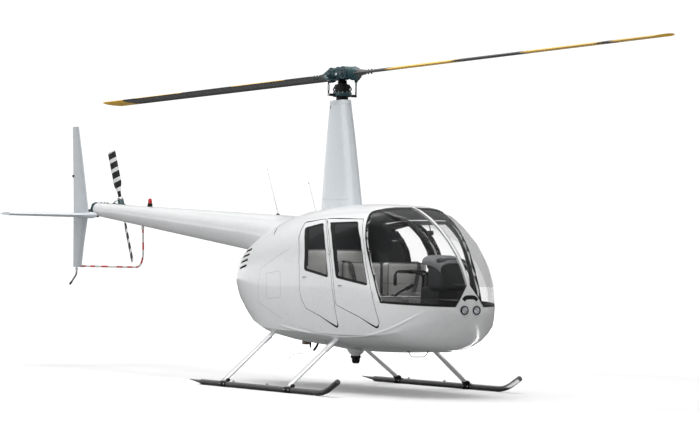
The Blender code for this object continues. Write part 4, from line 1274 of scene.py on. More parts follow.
class HELI_OT_lamps(bpy.types.Operator):
    """Build the landing lamps, the painted shade of the nose slot, the nose seal and the beacon"""

    bl_idname = "heli.lamps"
    bl_label = "Lamps and beacon"

    def execute(self, context):
        sizes = context.scene.heli_lamps
        for side, s in SIDES:
            low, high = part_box(f"landing_lamp_{side}")
            centre = Vector((high[0], (low[1] + high[1]) / 2, (low[2] + high[2]) / 2))
            place = moved(centre) @ spun(pi / 2, "Y")
            r, wall = sizes.reach, sizes.bezel
            rings = [(r + wall, -0.050), (r + wall, -0.004), (r + wall - 0.001, -0.001)]
            rings += [(r + 0.001, 0.0), (r - 0.001, -0.003), (r - 0.001, -0.050)]
            bezel = Form().turned(rings, place, 40)
            bezel.piece(f"landing_lamp_bezel_{side}", "black enamel", replaces=(f"landing_lamp_{side}",))
            dish = [(r - 0.0005, -0.004), (r * 0.90, -0.016), (r * 0.72, -0.026), (r * 0.45, -0.034)]
            form = Form().turned(dish + [(0.010, -0.038), (0.006, -0.036)], place, 40)
            form.faces.pop(-2)
            form.piece(f"landing_lamp_reflector_{side}", "lamp reflector")
            bulb = [(0.006, -0.038), (0.0065, -0.022), (0.0055, -0.017), (0.002, -0.0145)]
            Form().turned(bulb, place, 16).piece(f"landing_lamp_bulb_{side}", "lamp glass")
            lens = [
                (r - 0.0015, -0.0065), (r - 0.001, -0.0045), (r * 0.75, -0.0025), (r * 0.4, -0.0012),
                (0.002, -0.0008),
            ]
            Form().turned(lens, place, 40).piece(f"landing_lamp_lens_{side}", "lamp glass")
        # A black arch above the lamps stands for the nose slot: painted shade where its inside would be dark
        nose, found = skin_of("windshield_centre_strip"), []
        for k in range(17):
            t = k / 16 * 2 - 1
            found += met(nose, at(4.0, 0.080 * t + 0.006, 0.966 - 0.030 * t ** 4), (-1, 0, 0))
        strip_on(Form(), nose, *zip(*found), 0.040, 0.0008).piece("nose_slot_shade", "black enamel")

        edges = Form()
        front = skin_of("windshield_centre_strip", "windshield_port", "windshield_starboard", "cabin_tub")
        for s in (1, -1):
            found = []
            for k in range(24):
                t = k / 23
                found += met(front, at(4.0, (0.164 - 0.151 * t) * s, 0.872 + 0.212 * t), (-1, 0, 0))
            strip_on(edges, front, *zip(*found), 0.011, 0.0012)
        edges.piece("nose_fairing_seal", "grey rubber")

        low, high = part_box("beacon")
        x, y = (low[0] + high[0]) / 2, (low[1] + high[1]) / 2
        place = moved((x, y, high[2] - 0.112))
        base = Form().turned(
            [(0.030, 0.0), (0.030, 0.020), (0.029, 0.050), (0.0265, 0.054), (0.022, 0.055)], place, 32,
        )
        base.piece("beacon_base", "black enamel", replaces=("beacon",))
        dome = Form().turned(
            [
                (0.0245, 0.0545), (0.0245, 0.060), (0.0235, 0.085), (0.0205, 0.101), (0.0135, 0.109),
                (0.004, 0.1118),
            ],
            place, 32,
        )
        dome.piece("beacon_dome", "red lens", smooth=60)
        hoops = Form()
        for z in (0.066, 0.074, 0.082):
            hoops.turned([(0.0240, z - 0.0012), (0.0252, z), (0.0238, z + 0.0012)], place, 32)
        hoops.piece("beacon_hoops", "red lens")
        core = Form().turned([(0.008, 0.052), (0.008, 0.088), (0.004, 0.092)], place, 16)
        core.piece("beacon_tube", "lamp reflector")
        return {"FINISHED"}


# Rotor head

TEETER = at(0, 0, 3.213)
MAST_TURN = moved(TEETER) @ spun(radians(1.30), "Z")
HUB_TURN = MAST_TURN @ spun(radians(-0.73), "Y")
TAIL_TURN = moved(TAIL_HUB) @ spun(radians(-114.1), "Y")


class RotorSizes(bpy.types.PropertyGroup):
    """Sizes of the rotor head's fittings"""

    bolt: length("Bolt", "Radius of a bolt head", 0.011)
    folds: IntProperty(
        name="Boot folds", description="Folds of the rubber boot under the hub", default=5, min=2, max=9,
    )


def bolt(form, place, radius, height, washer=1.35):
    """A hexagon head on a washer, standing on the placed Z axis."""
    r = radius * washer
    form.turned([(r, -0.001), (r, height * 0.18), (r * 0.9, height * 0.24)], place, 20)
    rows = [
        (radius, height * 0.2), (radius, height * 0.85), (radius * 0.82, height),
        (radius * 0.3, height * 0.97),
    ]
    return form.turned(rows, place, 6)


def bolt_circle(form, place, count, spread, height, radius, tall, first=0.0):
    """Bolts round the placed Z axis, at one height on it."""
    for a in angles(count, first):
        bolt(form, place @ moved((spread * cos(a), spread * sin(a), height)), radius, tall)


def on_flank(place, x, y, z, side):
    """A placing whose Z axis points out to one side of another placing."""
    return place @ moved((x, y * side, z)) @ spun(-pi / 2 * side, "X")


class HELI_OT_rotor_head(bpy.types.Operator):
    """Fit bolts, boot, links and grips to the rotor head"""

    bl_idname = "heli.rotor_head"
    bl_label = "Rotor head"

    def execute(self, context):
        sizes = context.scene.heli_rotor
        self.hub(sizes)
        self.arms()
        self.under_the_hub(sizes)
        return {"FINISHED"}

    def hub(self, sizes):
        bolts, caps, sockets, pin = Form(), Form(), Form(), Form()
        for x in (-0.108, 0.108):
            for s in (1, -1):
                face = on_flank(HUB_TURN, x, 0.074, 0.012, s)
                caps.turned(
                    [(0.046, -0.001), (0.046, 0.004), (0.043, 0.007), (0.030, 0.009), (0.026, 0.005)], face,
                    32,
                )
                bolt(bolts, face @ moved((0, 0, 0.005)), sizes.bolt * 1.3, 0.014)
                bolt_circle(bolts, face, 6, 0.054, 0, 0.0042, 0.005, pi / 6)
                sockets.turned([(0.029, 0.004), (0.029, 0.0098), (0.026, 0.0102), (0.018, 0.0060)], face, 32)
        for s in (1, -1):
            face = on_flank(HUB_TURN, 0, 0.062, 0.014, s)
            caps.turned([(0.050, -0.001), (0.050, 0.005), (0.046, 0.008), (0.020, 0.010)], face, 32)
            bolt(pin, on_flank(MAST_TURN, 0, 0.0785, 0, s), 0.014, 0.012, 1.25)
        caps.piece("hub_bearing_caps", "dark teal enamel", "main_rotor")
        sockets.piece("hub_bearing_seals", "black rubber", "main_rotor")
        bolts.piece("hub_bolts", "dark teal enamel", "main_rotor")
        pin.piece("teeter_pin_nuts", "brushed steel", "rotor_mast")
        lid = Form().block((-0.060, -0.040, 0.050), (0.060, 0.040, 0.064), 0.005, HUB_TURN)
        lid.turned([(0.030, 0.060), (0.030, 0.070), (0.024, 0.075), (0.008, 0.076)], HUB_TURN, 28)
        lid.piece("hub_top_plate", "dark teal enamel", "main_rotor")

    def arms(self):
        horns, grips = Form(), Form()
        for turn in (0, pi):
            arm = HUB_TURN @ spun(turn, "Z")
            lever = [
                (0.200, 0.050, 0.0), (0.175, 0.100, -0.020), (0.070, 0.150, -0.040), (0.004, 0.168, -0.052),
            ]
            path = [arm @ Vector(p) for p in bend(lever, 0.04)]
            horns.tube(path, [0.020] * 7 + [0.016] * 7 + [0.013] * 2)
            horns.turned(
                [(0.017, -0.014), (0.019, 0.0), (0.017, 0.014)], arm @ moved((0.004, 0.168, -0.056)), 20,
            )
            along = arm @ spun(pi / 2, "Y")
            for z in (0.190, 0.224):
                grips.turned_band(0.0685, 0.0705, z, 0.006, 0.004, along, 36)
            grips.turned([(0.050, 0.268), (0.054, 0.272), (0.052, 0.280), (0.044, 0.288)], along, 32)
            bolt_circle(grips, along, 8, 0.060, 0.232, 0.004, 0.005)
            for x in (0.40, 0.455, 0.51):
                for s in (1, -1):
                    up = arm @ moved((x, 0.012, 0.016 * s)) @ spun(0 if s > 0 else pi, "X")
                    bolt(grips, up, 0.0075, 0.010)
        horns.piece("pitch_horns", "dark teal enamel", "main_rotor")
        grips.piece("blade_grip_bands", "dark teal enamel", "main_rotor")

    def under_the_hub(self, sizes):
        profile = []
        low, high = -0.085, -0.058
        for k in range(sizes.folds * 6 + 1):
            t = k / (sizes.folds * 6)
            profile.append(
                (0.047 - 0.006 * t + 0.006 * cos(2 * pi * sizes.folds * t), low + (high - low) * t)
            )
        Form().turned(profile, MAST_TURN, 40).piece("mast_boot", "black rubber", "rotor_mast")
        links, scissor, plate = Form(), Form(), Form()
        for s in (1, -1):
            place = MAST_TURN @ moved((0.0, 0.170 * s, 0))
            for z in (-0.214, -0.064):
                links.turned_band(0.008, 0.0135, z, 0.012, 0.008, place, 20)
            links.turned([(0.0115, -0.17), (0.0115, -0.11)], place, 6)
        links.piece("pitch_link_ends", "brushed steel", "rotor_mast")
        rim = [(0.0958, -0.2245), (0.0985, -0.221), (0.0985, -0.190), (0.0955, -0.1860), (0.080, -0.1825)]
        Form().turned(rim, MAST_TURN, 48).piece("swashplate_rim", "dark teal enamel", "rotor_mast")
        bolt_circle(plate, MAST_TURN, 12, 0.087, 3.030 - 3.213, 0.0045, 0.006)
        plate.piece("swashplate_bolts", "brushed steel", "rotor_mast")
        link = ((0.030, 0, -0.088), (0.080, 0, -0.120), (0.100, 0, -0.150), (0.085, 0, -0.182))
        for a in (0.6, 0.6 + pi):
            turn = MAST_TURN @ spun(a, "Z")
            scissor.tube([turn @ Vector(p) for p in link], [0.007, 0.009, 0.008, 0.007], 10)
        scissor.piece("scissor_links", "dark teal enamel", "rotor_mast")


class HELI_OT_blades(bpy.types.Operator):
    """Paint the bands of the main and tail rotor blades and fit the tail hub"""

    bl_idname = "heli.blades"
    bl_label = "Blades"

    def execute(self, context):
        span, chord = ((HUB_TURN.to_3x3() @ Vector(axis)).normalized() for axis in ((1, 0, 0), (0, 1, 0)))
        blade_paint("banded blade enamel", span, chord, 4.445, (0.90, 0.54, 0.06), -1.1)
        # The far blade's yellow is a darker copy of the near blade's: painted shade
        blade_paint("tipped blade enamel", -span, -chord, 4.545, (0.80, 0.46, 0.04), 0.75)
        dress("rotor_blade_a", "banded blade enamel")
        dress("rotor_blade_b", "tipped blade enamel")
        tail_paint((TAIL_TURN.to_3x3() @ Vector((1, 0, 0))).normalized())
        for name in ("a", "b"):
            dress(f"tail_rotor_blade_{name}", "banded tail blade enamel")
        fittings, links = Form(), Form()
        for turn in (0, pi):
            arm = TAIL_TURN @ spun(turn, "Y")
            along = arm @ spun(pi / 2, "Y")
            fittings.turned([(0.0315, 0.072), (0.034, 0.075), (0.034, 0.104), (0.031, 0.108)], along, 28)
            for s in (1, -1):
                bolt(fittings, on_flank(arm, 0.083, 0.0335, 0, s), 0.0085, 0.008)
            path = [
                arm @ Vector(p)
                for p in ((0.020, -0.105, 0.030), (0.050, -0.095, 0.052), (0.092, -0.030, 0.046))
            ]
            links.tube(bend(path, 0.02), 0.0055, 10)
        spindle = TAIL_TURN @ spun(-pi / 2, "X")
        fittings.turned([(0.020, 0.044), (0.020, 0.052), (0.014, 0.056), (0.004, 0.057)], spindle, 24)
        fittings.piece("tail_hub_fittings", "brushed steel", "tail_rotor")
        slider = TAIL_TURN @ spun(pi / 2, "X")
        links.turned([(0.030, 0.086), (0.037, 0.090), (0.037, 0.104), (0.030, 0.108)], slider, 28)
        links.piece("tail_pitch_links", "dark teal enamel", "tail_rotor")
        return {"FINISHED"}


def lengths_along(tree, centre, axis):
    """Distance of a point from a centre along an axis, for a paint that has bands."""
    away = vector_maths(tree, "SUBTRACT", place_on_piece(tree), tuple(centre))[0]
    return vector_maths(tree, "DOT_PRODUCT", away, tuple(axis))["Value"]


def any_band(tree, value, bands, mask):
    """Adds to a mask where a value lies in one of the bands."""
    for low, high in bands:
        mask = maths(tree, "MAXIMUM", mask, between(tree, value, low, high))
    return mask


def blade_paint(name, span, chord, tip, yellow, edge):
    """Black, with a painted reflection greying mid chord; yellow at the tip and in bands where it faces up
    past `edge`.
    """
    tree, shader = new_finish(name)
    r = lengths_along(tree, TEETER, span)
    c = lengths_along(tree, TEETER, chord)
    mask = maths(tree, "GREATER_THAN", r, tip)
    _, _, up = xyz(tree, node(tree, "ShaderNodeTexCoord").outputs["Normal"])
    half = maths(tree, "GREATER_THAN", up, edge)
    for low, high in ((1.02, 2.10), (3.175, 4.24)):
        mask = maths(tree, "MAXIMUM", mask, maths(tree, "MULTIPLY", half, between(tree, r, low, high)))
    # The grey band along mid chord is a painted reflection of the floor on the black enamel
    middle = remap(tree, maths(tree, "ABSOLUTE", c), 0.075, 0.040, kind="SMOOTHSTEP")
    dark = mix(tree, middle, (0.012, 0.012, 0.013, 1), (0.085, 0.086, 0.088, 1))
    colour = mix(tree, mask, dark, (*yellow, 1))
    colour = mix(tree, maths(tree, "LESS_THAN", r, 0.30), colour, (0.014, 0.056, 0.066, 1))
    weathered(tree, shader, colour, 0.12, 5.0, (0.30, 0.7), (0.18, 0.17, 0.155, 1))
    set_plain(shader, {"Specular IOR Level": 0.12})
    grained(tree, shader, 30.0, 0.3, 0.05, 0.004)


def tail_paint(axis):
    """Light grey enamel with black bands and a dark root."""
    tree, shader = new_finish("banded tail blade enamel")
    r = maths(tree, "ABSOLUTE", lengths_along(tree, TAIL_HUB, axis))
    bands = ((0.246, 0.326), (0.377, 0.460), (0.509, 0.590), (0.640, 0.718))
    mask = any_band(tree, r, bands, maths(tree, "LESS_THAN", r, 0.196))
    colour = mix(tree, mask, (0.82, 0.83, 0.84, 1), (0.010, 0.010, 0.011, 1))
    weathered(tree, shader, colour, 0.2, 8.0, (0.32, 0.65))
    set_plain(shader, {"Specular IOR Level": 0.15})
    grained(tree, shader, 40.0, 0.3, 0.05, 0.003)


def guard_paint():
    """White enamel with red dashes along the tail rotor guard."""
    tree, shader = new_finish("dashed guard enamel")
    x, _, z = xyz(tree, place_on_piece(tree))
    from_mast = maths(tree, "SUBTRACT", x, MAST.x)
    dashes = ((-5.498, -5.423), (-5.32, -5.215), (-5.05, -4.925), (-4.811, -4.66), (-4.555, -4.47))
    mask = any_band(tree, from_mast, dashes, between(tree, from_mast, -5.70, -5.572))
    upright = maths(tree, "GREATER_THAN", from_mast, -4.42)
    for low, high in ((1.24, 1.31), (1.40, 1.49), (1.60, 1.69)):
        mask = maths(tree, "MAXIMUM", mask, maths(tree, "MULTIPLY", upright, between(tree, z, low, high)))
    colour = mix(tree, mask, (0.74, 0.73, 0.71, 1), (0.62, 0.018, 0.020, 1))
    weathered(tree, shader, colour, 0.3, 9.0, (0.3, 0.65))
    grained(tree, shader, 60.0, 0.3, 0.05, 0.002)


# Tail


class HELI_OT_tail(bpy.types.Operator):
    """Dress the tail gearbox, guard, fins and tail skid"""

    bl_idname = "heli.tail"
    bl_label = "Tail fittings"

    def execute(self, context):
        guard_paint()
        dress("tail_rotor_guard", "dashed guard enamel")
        along = moved(at(-5.440, 0, boom_height(-5.440))) @ spun(-pi / 2, "Y")
        ribs, bolts = Form(), Form()
        for depth, r in ((0.004, 0.080), (0.052, 0.0785)):
            ribs.turned_band(r - 0.006, r, depth, 0.004, 0.003, along, 36)
        for a in angles(8, 0.2):
            ribs.block((0.068, -0.003, 0.008), (0.079, 0.003, 0.050), 0.001, along @ spun(a, "Z"))
            bolt(bolts, along @ moved((0.060 * cos(a), 0.060 * sin(a), 0.0505)), 0.0045, 0.006)
        case = moved(at(-5.50, 0.02, 1.924)) @ spun(-pi / 2, "Y")
        for depth in (0.010, 0.032, 0.056, 0.080):
            ribs.turned_band(0.044, 0.0495, depth, 0.004, 0.002, case, 32)
        drive = moved(at(-5.55, 0.05, 1.940)) @ spun(-pi / 2, "X")
        for depth in (0.040, 0.085, 0.125):
            ribs.turned_band(0.033, 0.040, depth, 0.005, 0.003, drive, 32)
        bolt_circle(bolts, drive, 6, 0.0345, 0.128, 0.0038, 0.005)
        ribs.piece("tail_gearbox_ribs", "dark teal enamel")
        bolt(bolts, moved(at(-5.545, 0.02, 1.968)), 0.013, 0.016, 1.3)
        plug = moved(at(-5.575, -0.020, 1.915)) @ spun(pi / 2, "X")
        bolts.turned([(0.011, 0.0), (0.011, 0.006), (0.008, 0.007)], plug, 20)
        bolts.piece("tail_gearbox_bolts", "brushed steel")
        for lamp, _ in met(skin_of("fin_upper"), at(-7.0, -0.115, 2.30), (1, 0, 0)):
            place = moved(lamp + Vector((0.004, 0, 0))) @ spun(-pi / 2, "Y")
            base = Form().turned([(0.017, -0.012), (0.017, 0.006), (0.015, 0.008)], place, 24)
            base.piece("tail_light_base", "black enamel")
            lens = Form().turned(
                [(0.0145, 0.006), (0.0140, 0.014), (0.010, 0.020), (0.003, 0.0225)], place, 24,
            )
            lens.piece("tail_light_lens", "lamp glass")
        sleeves = Form()
        for point, ahead in (
            (at(-5.665, -0.115, 1.200), (0.665, 0.215, -0.004)), (at(-5.780, -0.115, 1.20), (0, 0, -1)),
        ):
            place = facing(point, Vector(ahead).normalized())
            sleeves.turned([(0.0112, 0.020), (0.0155, 0.024), (0.0155, 0.046), (0.0112, 0.050)], place, 24)
        place = moved(at(-4.300, 0, 1.640))
        sleeves.turned([(0.0112, -0.004), (0.0170, 0.0), (0.0170, 0.030), (0.0112, 0.034)], place, 24)
        sleeves.piece("guard_clamps", "brushed steel")
        start, end = at(-5.905, -0.115, 1.010), at(-5.955, -0.115, 0.9755)
        shoe = Form().tube([start, start.lerp(end, 0.1), end], [0.0112, 0.0125, 0.0125], 20)
        shoe.piece("tail_skid_shoe", "black rubber", slot="black_paint")
        return {"FINISHED"}


# Landing gear


class GearSizes(bpy.types.PropertyGroup):
    """Sizes of the landing gear's fittings"""

    clamp: length("Clamp", "Length of a clamp on the skid tube", 0.115)
    wall: length("Clamp wall", "Wall of a clamp on the skid tube", 0.0045)


class HELI_OT_gear(bpy.types.Operator):
    """Fit clamps, shoes, caps, cuffs and eyes to the skids and legs"""

    bl_idname = "heli.gear"
    bl_label = "Landing gear"

    def execute(self, context):
        sizes = context.scene.heli_gear
        for side, s in SIDES:
            y = TRACK * s
            clamps, bolts, shoes, caps, cuffs = Form(), Form(), Form(), Form(), Form()
            for x in (0.772, -0.483):
                half, r = sizes.clamp / 2, 0.028 + sizes.wall
                rows = [(0.0282, -half - 0.004), (r, -half), (r, half), (0.0282, half + 0.004)]
                clamps.turned(rows, moved(at(x, y, 0.030)) @ spun(pi / 2, "Y"), 32)
                for shift in (-half + 0.018, half - 0.018):
                    for way in (-1, 1):
                        face = moved(at(x + shift, y + (r - 0.002) * way, 0.032)) @ spun(-pi / 2 * way, "X")
                        bolt(bolts, face, 0.006, 0.007)
                foot = moved(at(x, 1.0545 * s, 0.074)) @ spun(radians(-38) * s, "X")
                clamps.block((-0.054, -0.018, -0.020), (0.054, 0.018, 0.010), 0.007, foot)
            clamps.piece(f"skid_clamps_{side}", "black enamel")
            for low, high in ((-0.78, -0.40), (0.70, 1.30)):
                count = max(2, round((high - low) / 0.12))
                foot = moved(at(0, y, 0))
                shoes.block((low + 0.004, -0.0155, 0.0004), (high - 0.004, 0.0155, 0.0034), 0.001, foot)
                for k in range(count + 1):
                    x = low + 0.02 + (high - low - 0.04) * k / count
                    for way in (-1, 1):
                        face = moved(at(x, y + 0.0142 * way, 0.0075)) @ spun(-pi / 2 * way, "X")
                        bolt(bolts, face, 0.0035, 0.003)
            shoes.piece(f"skid_shoes_{side}", "brushed steel")
            place = facing(at(1.66, y, 0.150), Vector((0.894, 0, 0.447)))
            caps.turned([(0.0265, -0.002), (0.0265, 0.0015), (0.022, 0.004), (0.004, 0.0048)], place, 32)
            tail = []
            for x, r, lift in SKID_TAIL:
                tail.append([at(x, y + r * cos(a), 0.030 + lift + r * 0.8 * sin(a)) for a in angles(24)])
            caps.loft(tail)
            caps.piece(f"skid_ends_{side}", "skid enamel", smooth=50)
            for x in (-0.30, 0.36):
                place = moved(at(x, y, 0.056))
                bolts.block((-0.022, -0.007, -0.002), (0.022, 0.007, 0.006), 0.002, place)
                bolts.turned(
                    [(0.0085, -0.008), (0.0085, 0.008)], place @ moved((0, 0, 0.012)) @ spun(pi / 2, "X"),
                    16,
                )
            bolts.piece(f"skid_bolts_{side}", "brushed steel")
            for end, top, foot in LEGS:
                leg = skin_of(f"strut_{end}_{side}")
                upper, lower = at(top[0], top[1] * s, top[2]), at(foot[0], foot[1] * s, foot[2])
                along = (upper - lower).normalized()
                wide = (Vector((1, 0, 0)) - along * along.x).normalized()
                thin = along.cross(wide)
                outs = [(wide * cos(a) + thin * sin(a)).normalized() for a in angles(36)]
                rings = []
                for share, grow in ((0.805, 0.0004), (0.815, 0.004), (0.90, 0.006), (0.945, 0.010)):
                    rings.append(section(leg, lower.lerp(upper, share), outs, (0.25, 0.02), grow))
                cuffs.loft(rings, closed_ends=False)
            cuffs.piece(f"strut_cuffs_{side}", "white enamel")
        return {"FINISHED"}


# The skid's rear end: X, radius and rise
SKID_TAIL = (
    (-0.945, 0.0275, 0.0), (-0.955, 0.0268, 0.0), (-1.02, 0.019, 0.005),
    (-1.12, 0.010, 0.011), (-1.20, 0.005, 0.016), (-1.206, 0.001, 0.016),
)
# Legs: the top and the foot of their middle line
LEGS = (
    ("front", (0.776, 0.559, 0.488), (0.772, TRACK, 0.055)),
    ("rear", (-0.545, 0.467, 0.536), (-0.483, TRACK, 0.055)),
)


# Belly and engine


class HELI_OT_belly(bpy.types.Operator):
    """Fit the exhaust, drains, antennas and belly unit"""

    bl_idname = "heli.belly"
    bl_label = "Belly, exhaust and cowl"

    def execute(self, context):
        x = -0.640
        outer = [(0.0445, 0.600), (0.0445, 0.455), (0.0445, 0.420), (0.0455, 0.4175)]
        inner = [(0.0435, 0.4175), (0.0415, 0.420), (0.0415, 0.595)]
        pipe = Form().turned(outer + inner, moved(at(x, 0, 0)), 40)
        del pipe.faces[-2:]
        pipe.piece("exhaust_tube", "burnt metal", replaces=("exhaust_pipe",))
        clamp = Form().turned(
            [(0.0448, 0.470), (0.0485, 0.472), (0.0485, 0.486), (0.0448, 0.488)], moved(at(x, 0, 0)), 36,
        )
        bolt(clamp, moved(at(x, 0.048, 0.479)) @ spun(-pi / 2, "X"), 0.006, 0.010)
        clamp.piece("exhaust_clamp", "brushed steel")

        belly = skin_of("cabin_tub", "engine_cowl")

        def under(x, y):
            return met(belly, at(x, y, -0.5), (0, 0, 1))[0][0]

        def hose(form, foot, runs, radius, sides, corner=0.0):
            path = [foot + Vector(run) for run in ((0, 0, 0.01), *runs)]
            form.tube(bend(path, corner) if corner else path, radius, sides)

        drains = Form()
        hose(drains, under(-0.37, -0.02), ((-0.02, 0, -0.035), (-0.085, 0, -0.085)), 0.0125, 16, 0.03)
        hose(drains, under(-0.30, -0.16), ((0, 0, -0.020), (-0.004, 0, -0.058)), 0.009, 14)
        hose(drains, under(0.06, 0.12), ((0, 0, -0.030), (-0.008, 0, -0.048)), 0.006, 12)
        drains.piece("belly_drains", "black enamel")
        wire = Form()
        start = under(-0.40, -0.02) - Vector((0.045, 0, 0.075))
        points = [
            start, start + Vector((-0.20, 0, -0.052)), start + Vector((-0.42, 0, -0.070)),
            at(-0.96, -0.02, 0.255),
        ]
        wire.tube(bend(points, 0.1), 0.0024, 8)
        a, b = under(1.44, -0.12), under(1.72, -0.08)
        loop = [a, a - Vector((-0.05, 0, 0.050)), b - Vector((0.05, 0, 0.052)), b]
        wire.tube(bend(loop, 0.03), 0.0038, 8)
        for point in (a, b):
            wire.turned([(0.013, -0.006), (0.013, 0.003), (0.008, 0.007)], moved(point) @ spun(pi, "X"), 16)
        wire.piece("belly_wire_antenna", "black enamel")
        low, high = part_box("belly_unit")
        place = moved(Vector(((low[0] + high[0]) / 2, (low[1] + high[1]) / 2, 0)))
        top = high[2]
        rows = [(0.090, 0.004), (0.088, 0.022), (0.070, 0.046), (0.050, 0.064), (0.044, 0.074)]
        mount = Form().turned([(r, top - drop) for r, drop in rows], place, 44)
        mount.piece("belly_unit_mount", "white enamel", replaces=("belly_unit",))
        rows = [(0.030, 0.072), (0.046, 0.078), (0.047, 0.094), (0.041, 0.100)]
        rows += [(0.043, 0.104), (0.042, 0.125), (0.035, 0.143), (0.026, 0.152)]
        unit = Form().turned([(r, top - drop) for r, drop in rows] + [(0.010, low[2] + 0.0005)], place, 40)
        for a in (0.4, 2.5, 4.6):
            arm = place @ spun(a, "Z")
            unit.block((0.040, -0.007, top - 0.098), (0.056, 0.007, top - 0.070), 0.003, arm)
            bolt(unit, arm @ moved((0.056, 0, top - 0.084)) @ spun(pi / 2, "Y"), 0.005, 0.005)
        eye = place @ moved((0.030, -0.022, top - 0.136)) @ spun(radians(62), (0.6, 0.8, 0))
        unit.turned([(0.0145, -0.006), (0.0145, 0.003), (0.012, 0.005), (0.009, 0.0035)], eye, 24)
        unit.piece("belly_unit_body", "black enamel")

        roof = skin_of("engine_cowl", "tail_boom", "cabin_roof", "cabin_tub")
        for name, x, radius in (("whip", -1.245, 0.022), ("ball", -0.476, 0.016)):
            hit = met(roof, at(x, 0.012, 4.0), (0, 0, -1))[0][0]
            rows = [
                (radius, -0.004), (radius, 0.003), (radius * 0.7, 0.007), (radius * 0.42, 0.012),
                (0.0068, 0.016),
            ]
            Form().turned(rows, moved(at(x, 0, hit.z)), 28).piece(f"{name}_antenna_foot", "black enamel")
        low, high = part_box("ball_antenna")
        tip = Vector((low[0], (low[1] + high[1]) / 2, high[2]))
        rows = [(0.001, -0.010), (0.0055, -0.006), (0.0062, 0.0), (0.0055, 0.003), (0.001, 0.0045)]
        Form().turned(rows, moved(tip), 20).piece("ball_antenna_tip", "black enamel")
        return {"FINISHED"}


# Seats


class SeatSizes(bpy.types.PropertyGroup):
    """Sizes of the upholstery"""

    weave_step: length("Mesh step", "Step of the cloth's mesh", 0.0058)
    pressure: FloatProperty(name="Fill", description="Pressure of the filling", default=4.0)
    cap: length("Most bulge", "The farthest that the cloth may swell", 0.012)
    piping: length("Piping", "Radius of the piping", 0.0042)
    belt: length("Belt", "Width of a belt", 0.046)


def swollen(low, high, seams, sizes, shrink=0.008):
    """The mesh of a stuffed cover: a rounded block whose cloth swells between sewn seams."""
    low, high = Vector(low) + Vector((shrink,) * 3), Vector(high) - Vector((shrink,) * 3)
    mesh = bpy.data.meshes.new("cover")
    form = Form().block(low, high, 0.026, steps=4)
    mesh.from_pydata([tuple(p) for p in form.points], [], form.faces)
    thing = bpy.data.objects.new("cover", mesh)
    bpy.context.scene.collection.objects.link(thing)
    remesh = thing.modifiers.new("remesh", "REMESH")
    remesh.mode = "VOXEL"
    remesh.voxel_size = sizes.weave_step
    graph = bpy.context.evaluated_depsgraph_get()
    fine = bpy.data.meshes.new_from_object(thing.evaluated_get(graph))
    thing.modifiers.clear()
    thing.data = fine
    rest = [v.co.copy() for v in fine.vertices]
    held = thing.vertex_groups.new(name="sewn")
    middle = (low + high) / 2
    reach = high - middle
    for v in fine.vertices:
        sewn = any(abs(v.co[axis] - value) < sizes.weave_step * 0.55 for axis, value in seams)
        rim = sorted(reach[i] - abs(v.co[i] - middle[i]) for i in (0, 1, 2))
        if sewn or (rim[0] < 0.006 and rim[1] < 0.010):
            held.add([v.index], 1.0, "REPLACE")
    cloth = thing.modifiers.new("cloth", "CLOTH")
    settings = cloth.settings
    settings.quality = 4
    settings.mass = 0.25
    settings.tension_stiffness = settings.compression_stiffness = 12
    settings.bending_stiffness = 1.2
    settings.vertex_group_mass = "sewn"
    settings.use_pressure = True
    settings.uniform_pressure_force = sizes.pressure
    settings.effector_weights.gravity = 0.0
    cloth.collision_settings.use_collision = False
    for frame_number in range(1, 21):
        bpy.context.scene.frame_set(frame_number)
    graph = bpy.context.evaluated_depsgraph_get()
    soft = bpy.data.meshes.new_from_object(thing.evaluated_get(graph))
    bpy.context.scene.frame_set(1)
    bpy.data.objects.remove(thing, do_unlink=True)
    for v, start in zip(soft.vertices, rest):
        move = v.co - start
        if move.length > sizes.cap:
            v.co = start + move.normalized() * sizes.cap
    return soft


def reused(mesh, shift, tall=1.0):
    """A copy of a cover, moved and stretched upwards from the seat's foot."""
    foot = at(0.77, 0.27, SEAT_FOOT)
    copy = mesh.copy()
    copy.transform(moved(foot + shift) @ Matrix.Diagonal((1, 1, tall, 1)) @ moved(-foot))
    return copy


def rounded_loop(corners, radius, point_at):
    """A closed path with rounded corners, each given by its middle and the turn at which it starts."""
    loop = []
    for u, v, start in corners:
        for k in range(7):
            a = radians(start + 15 * k)
            loop.append(point_at(u + radius * cos(a), v + radius * sin(a)))
    return loop + loop[:1]


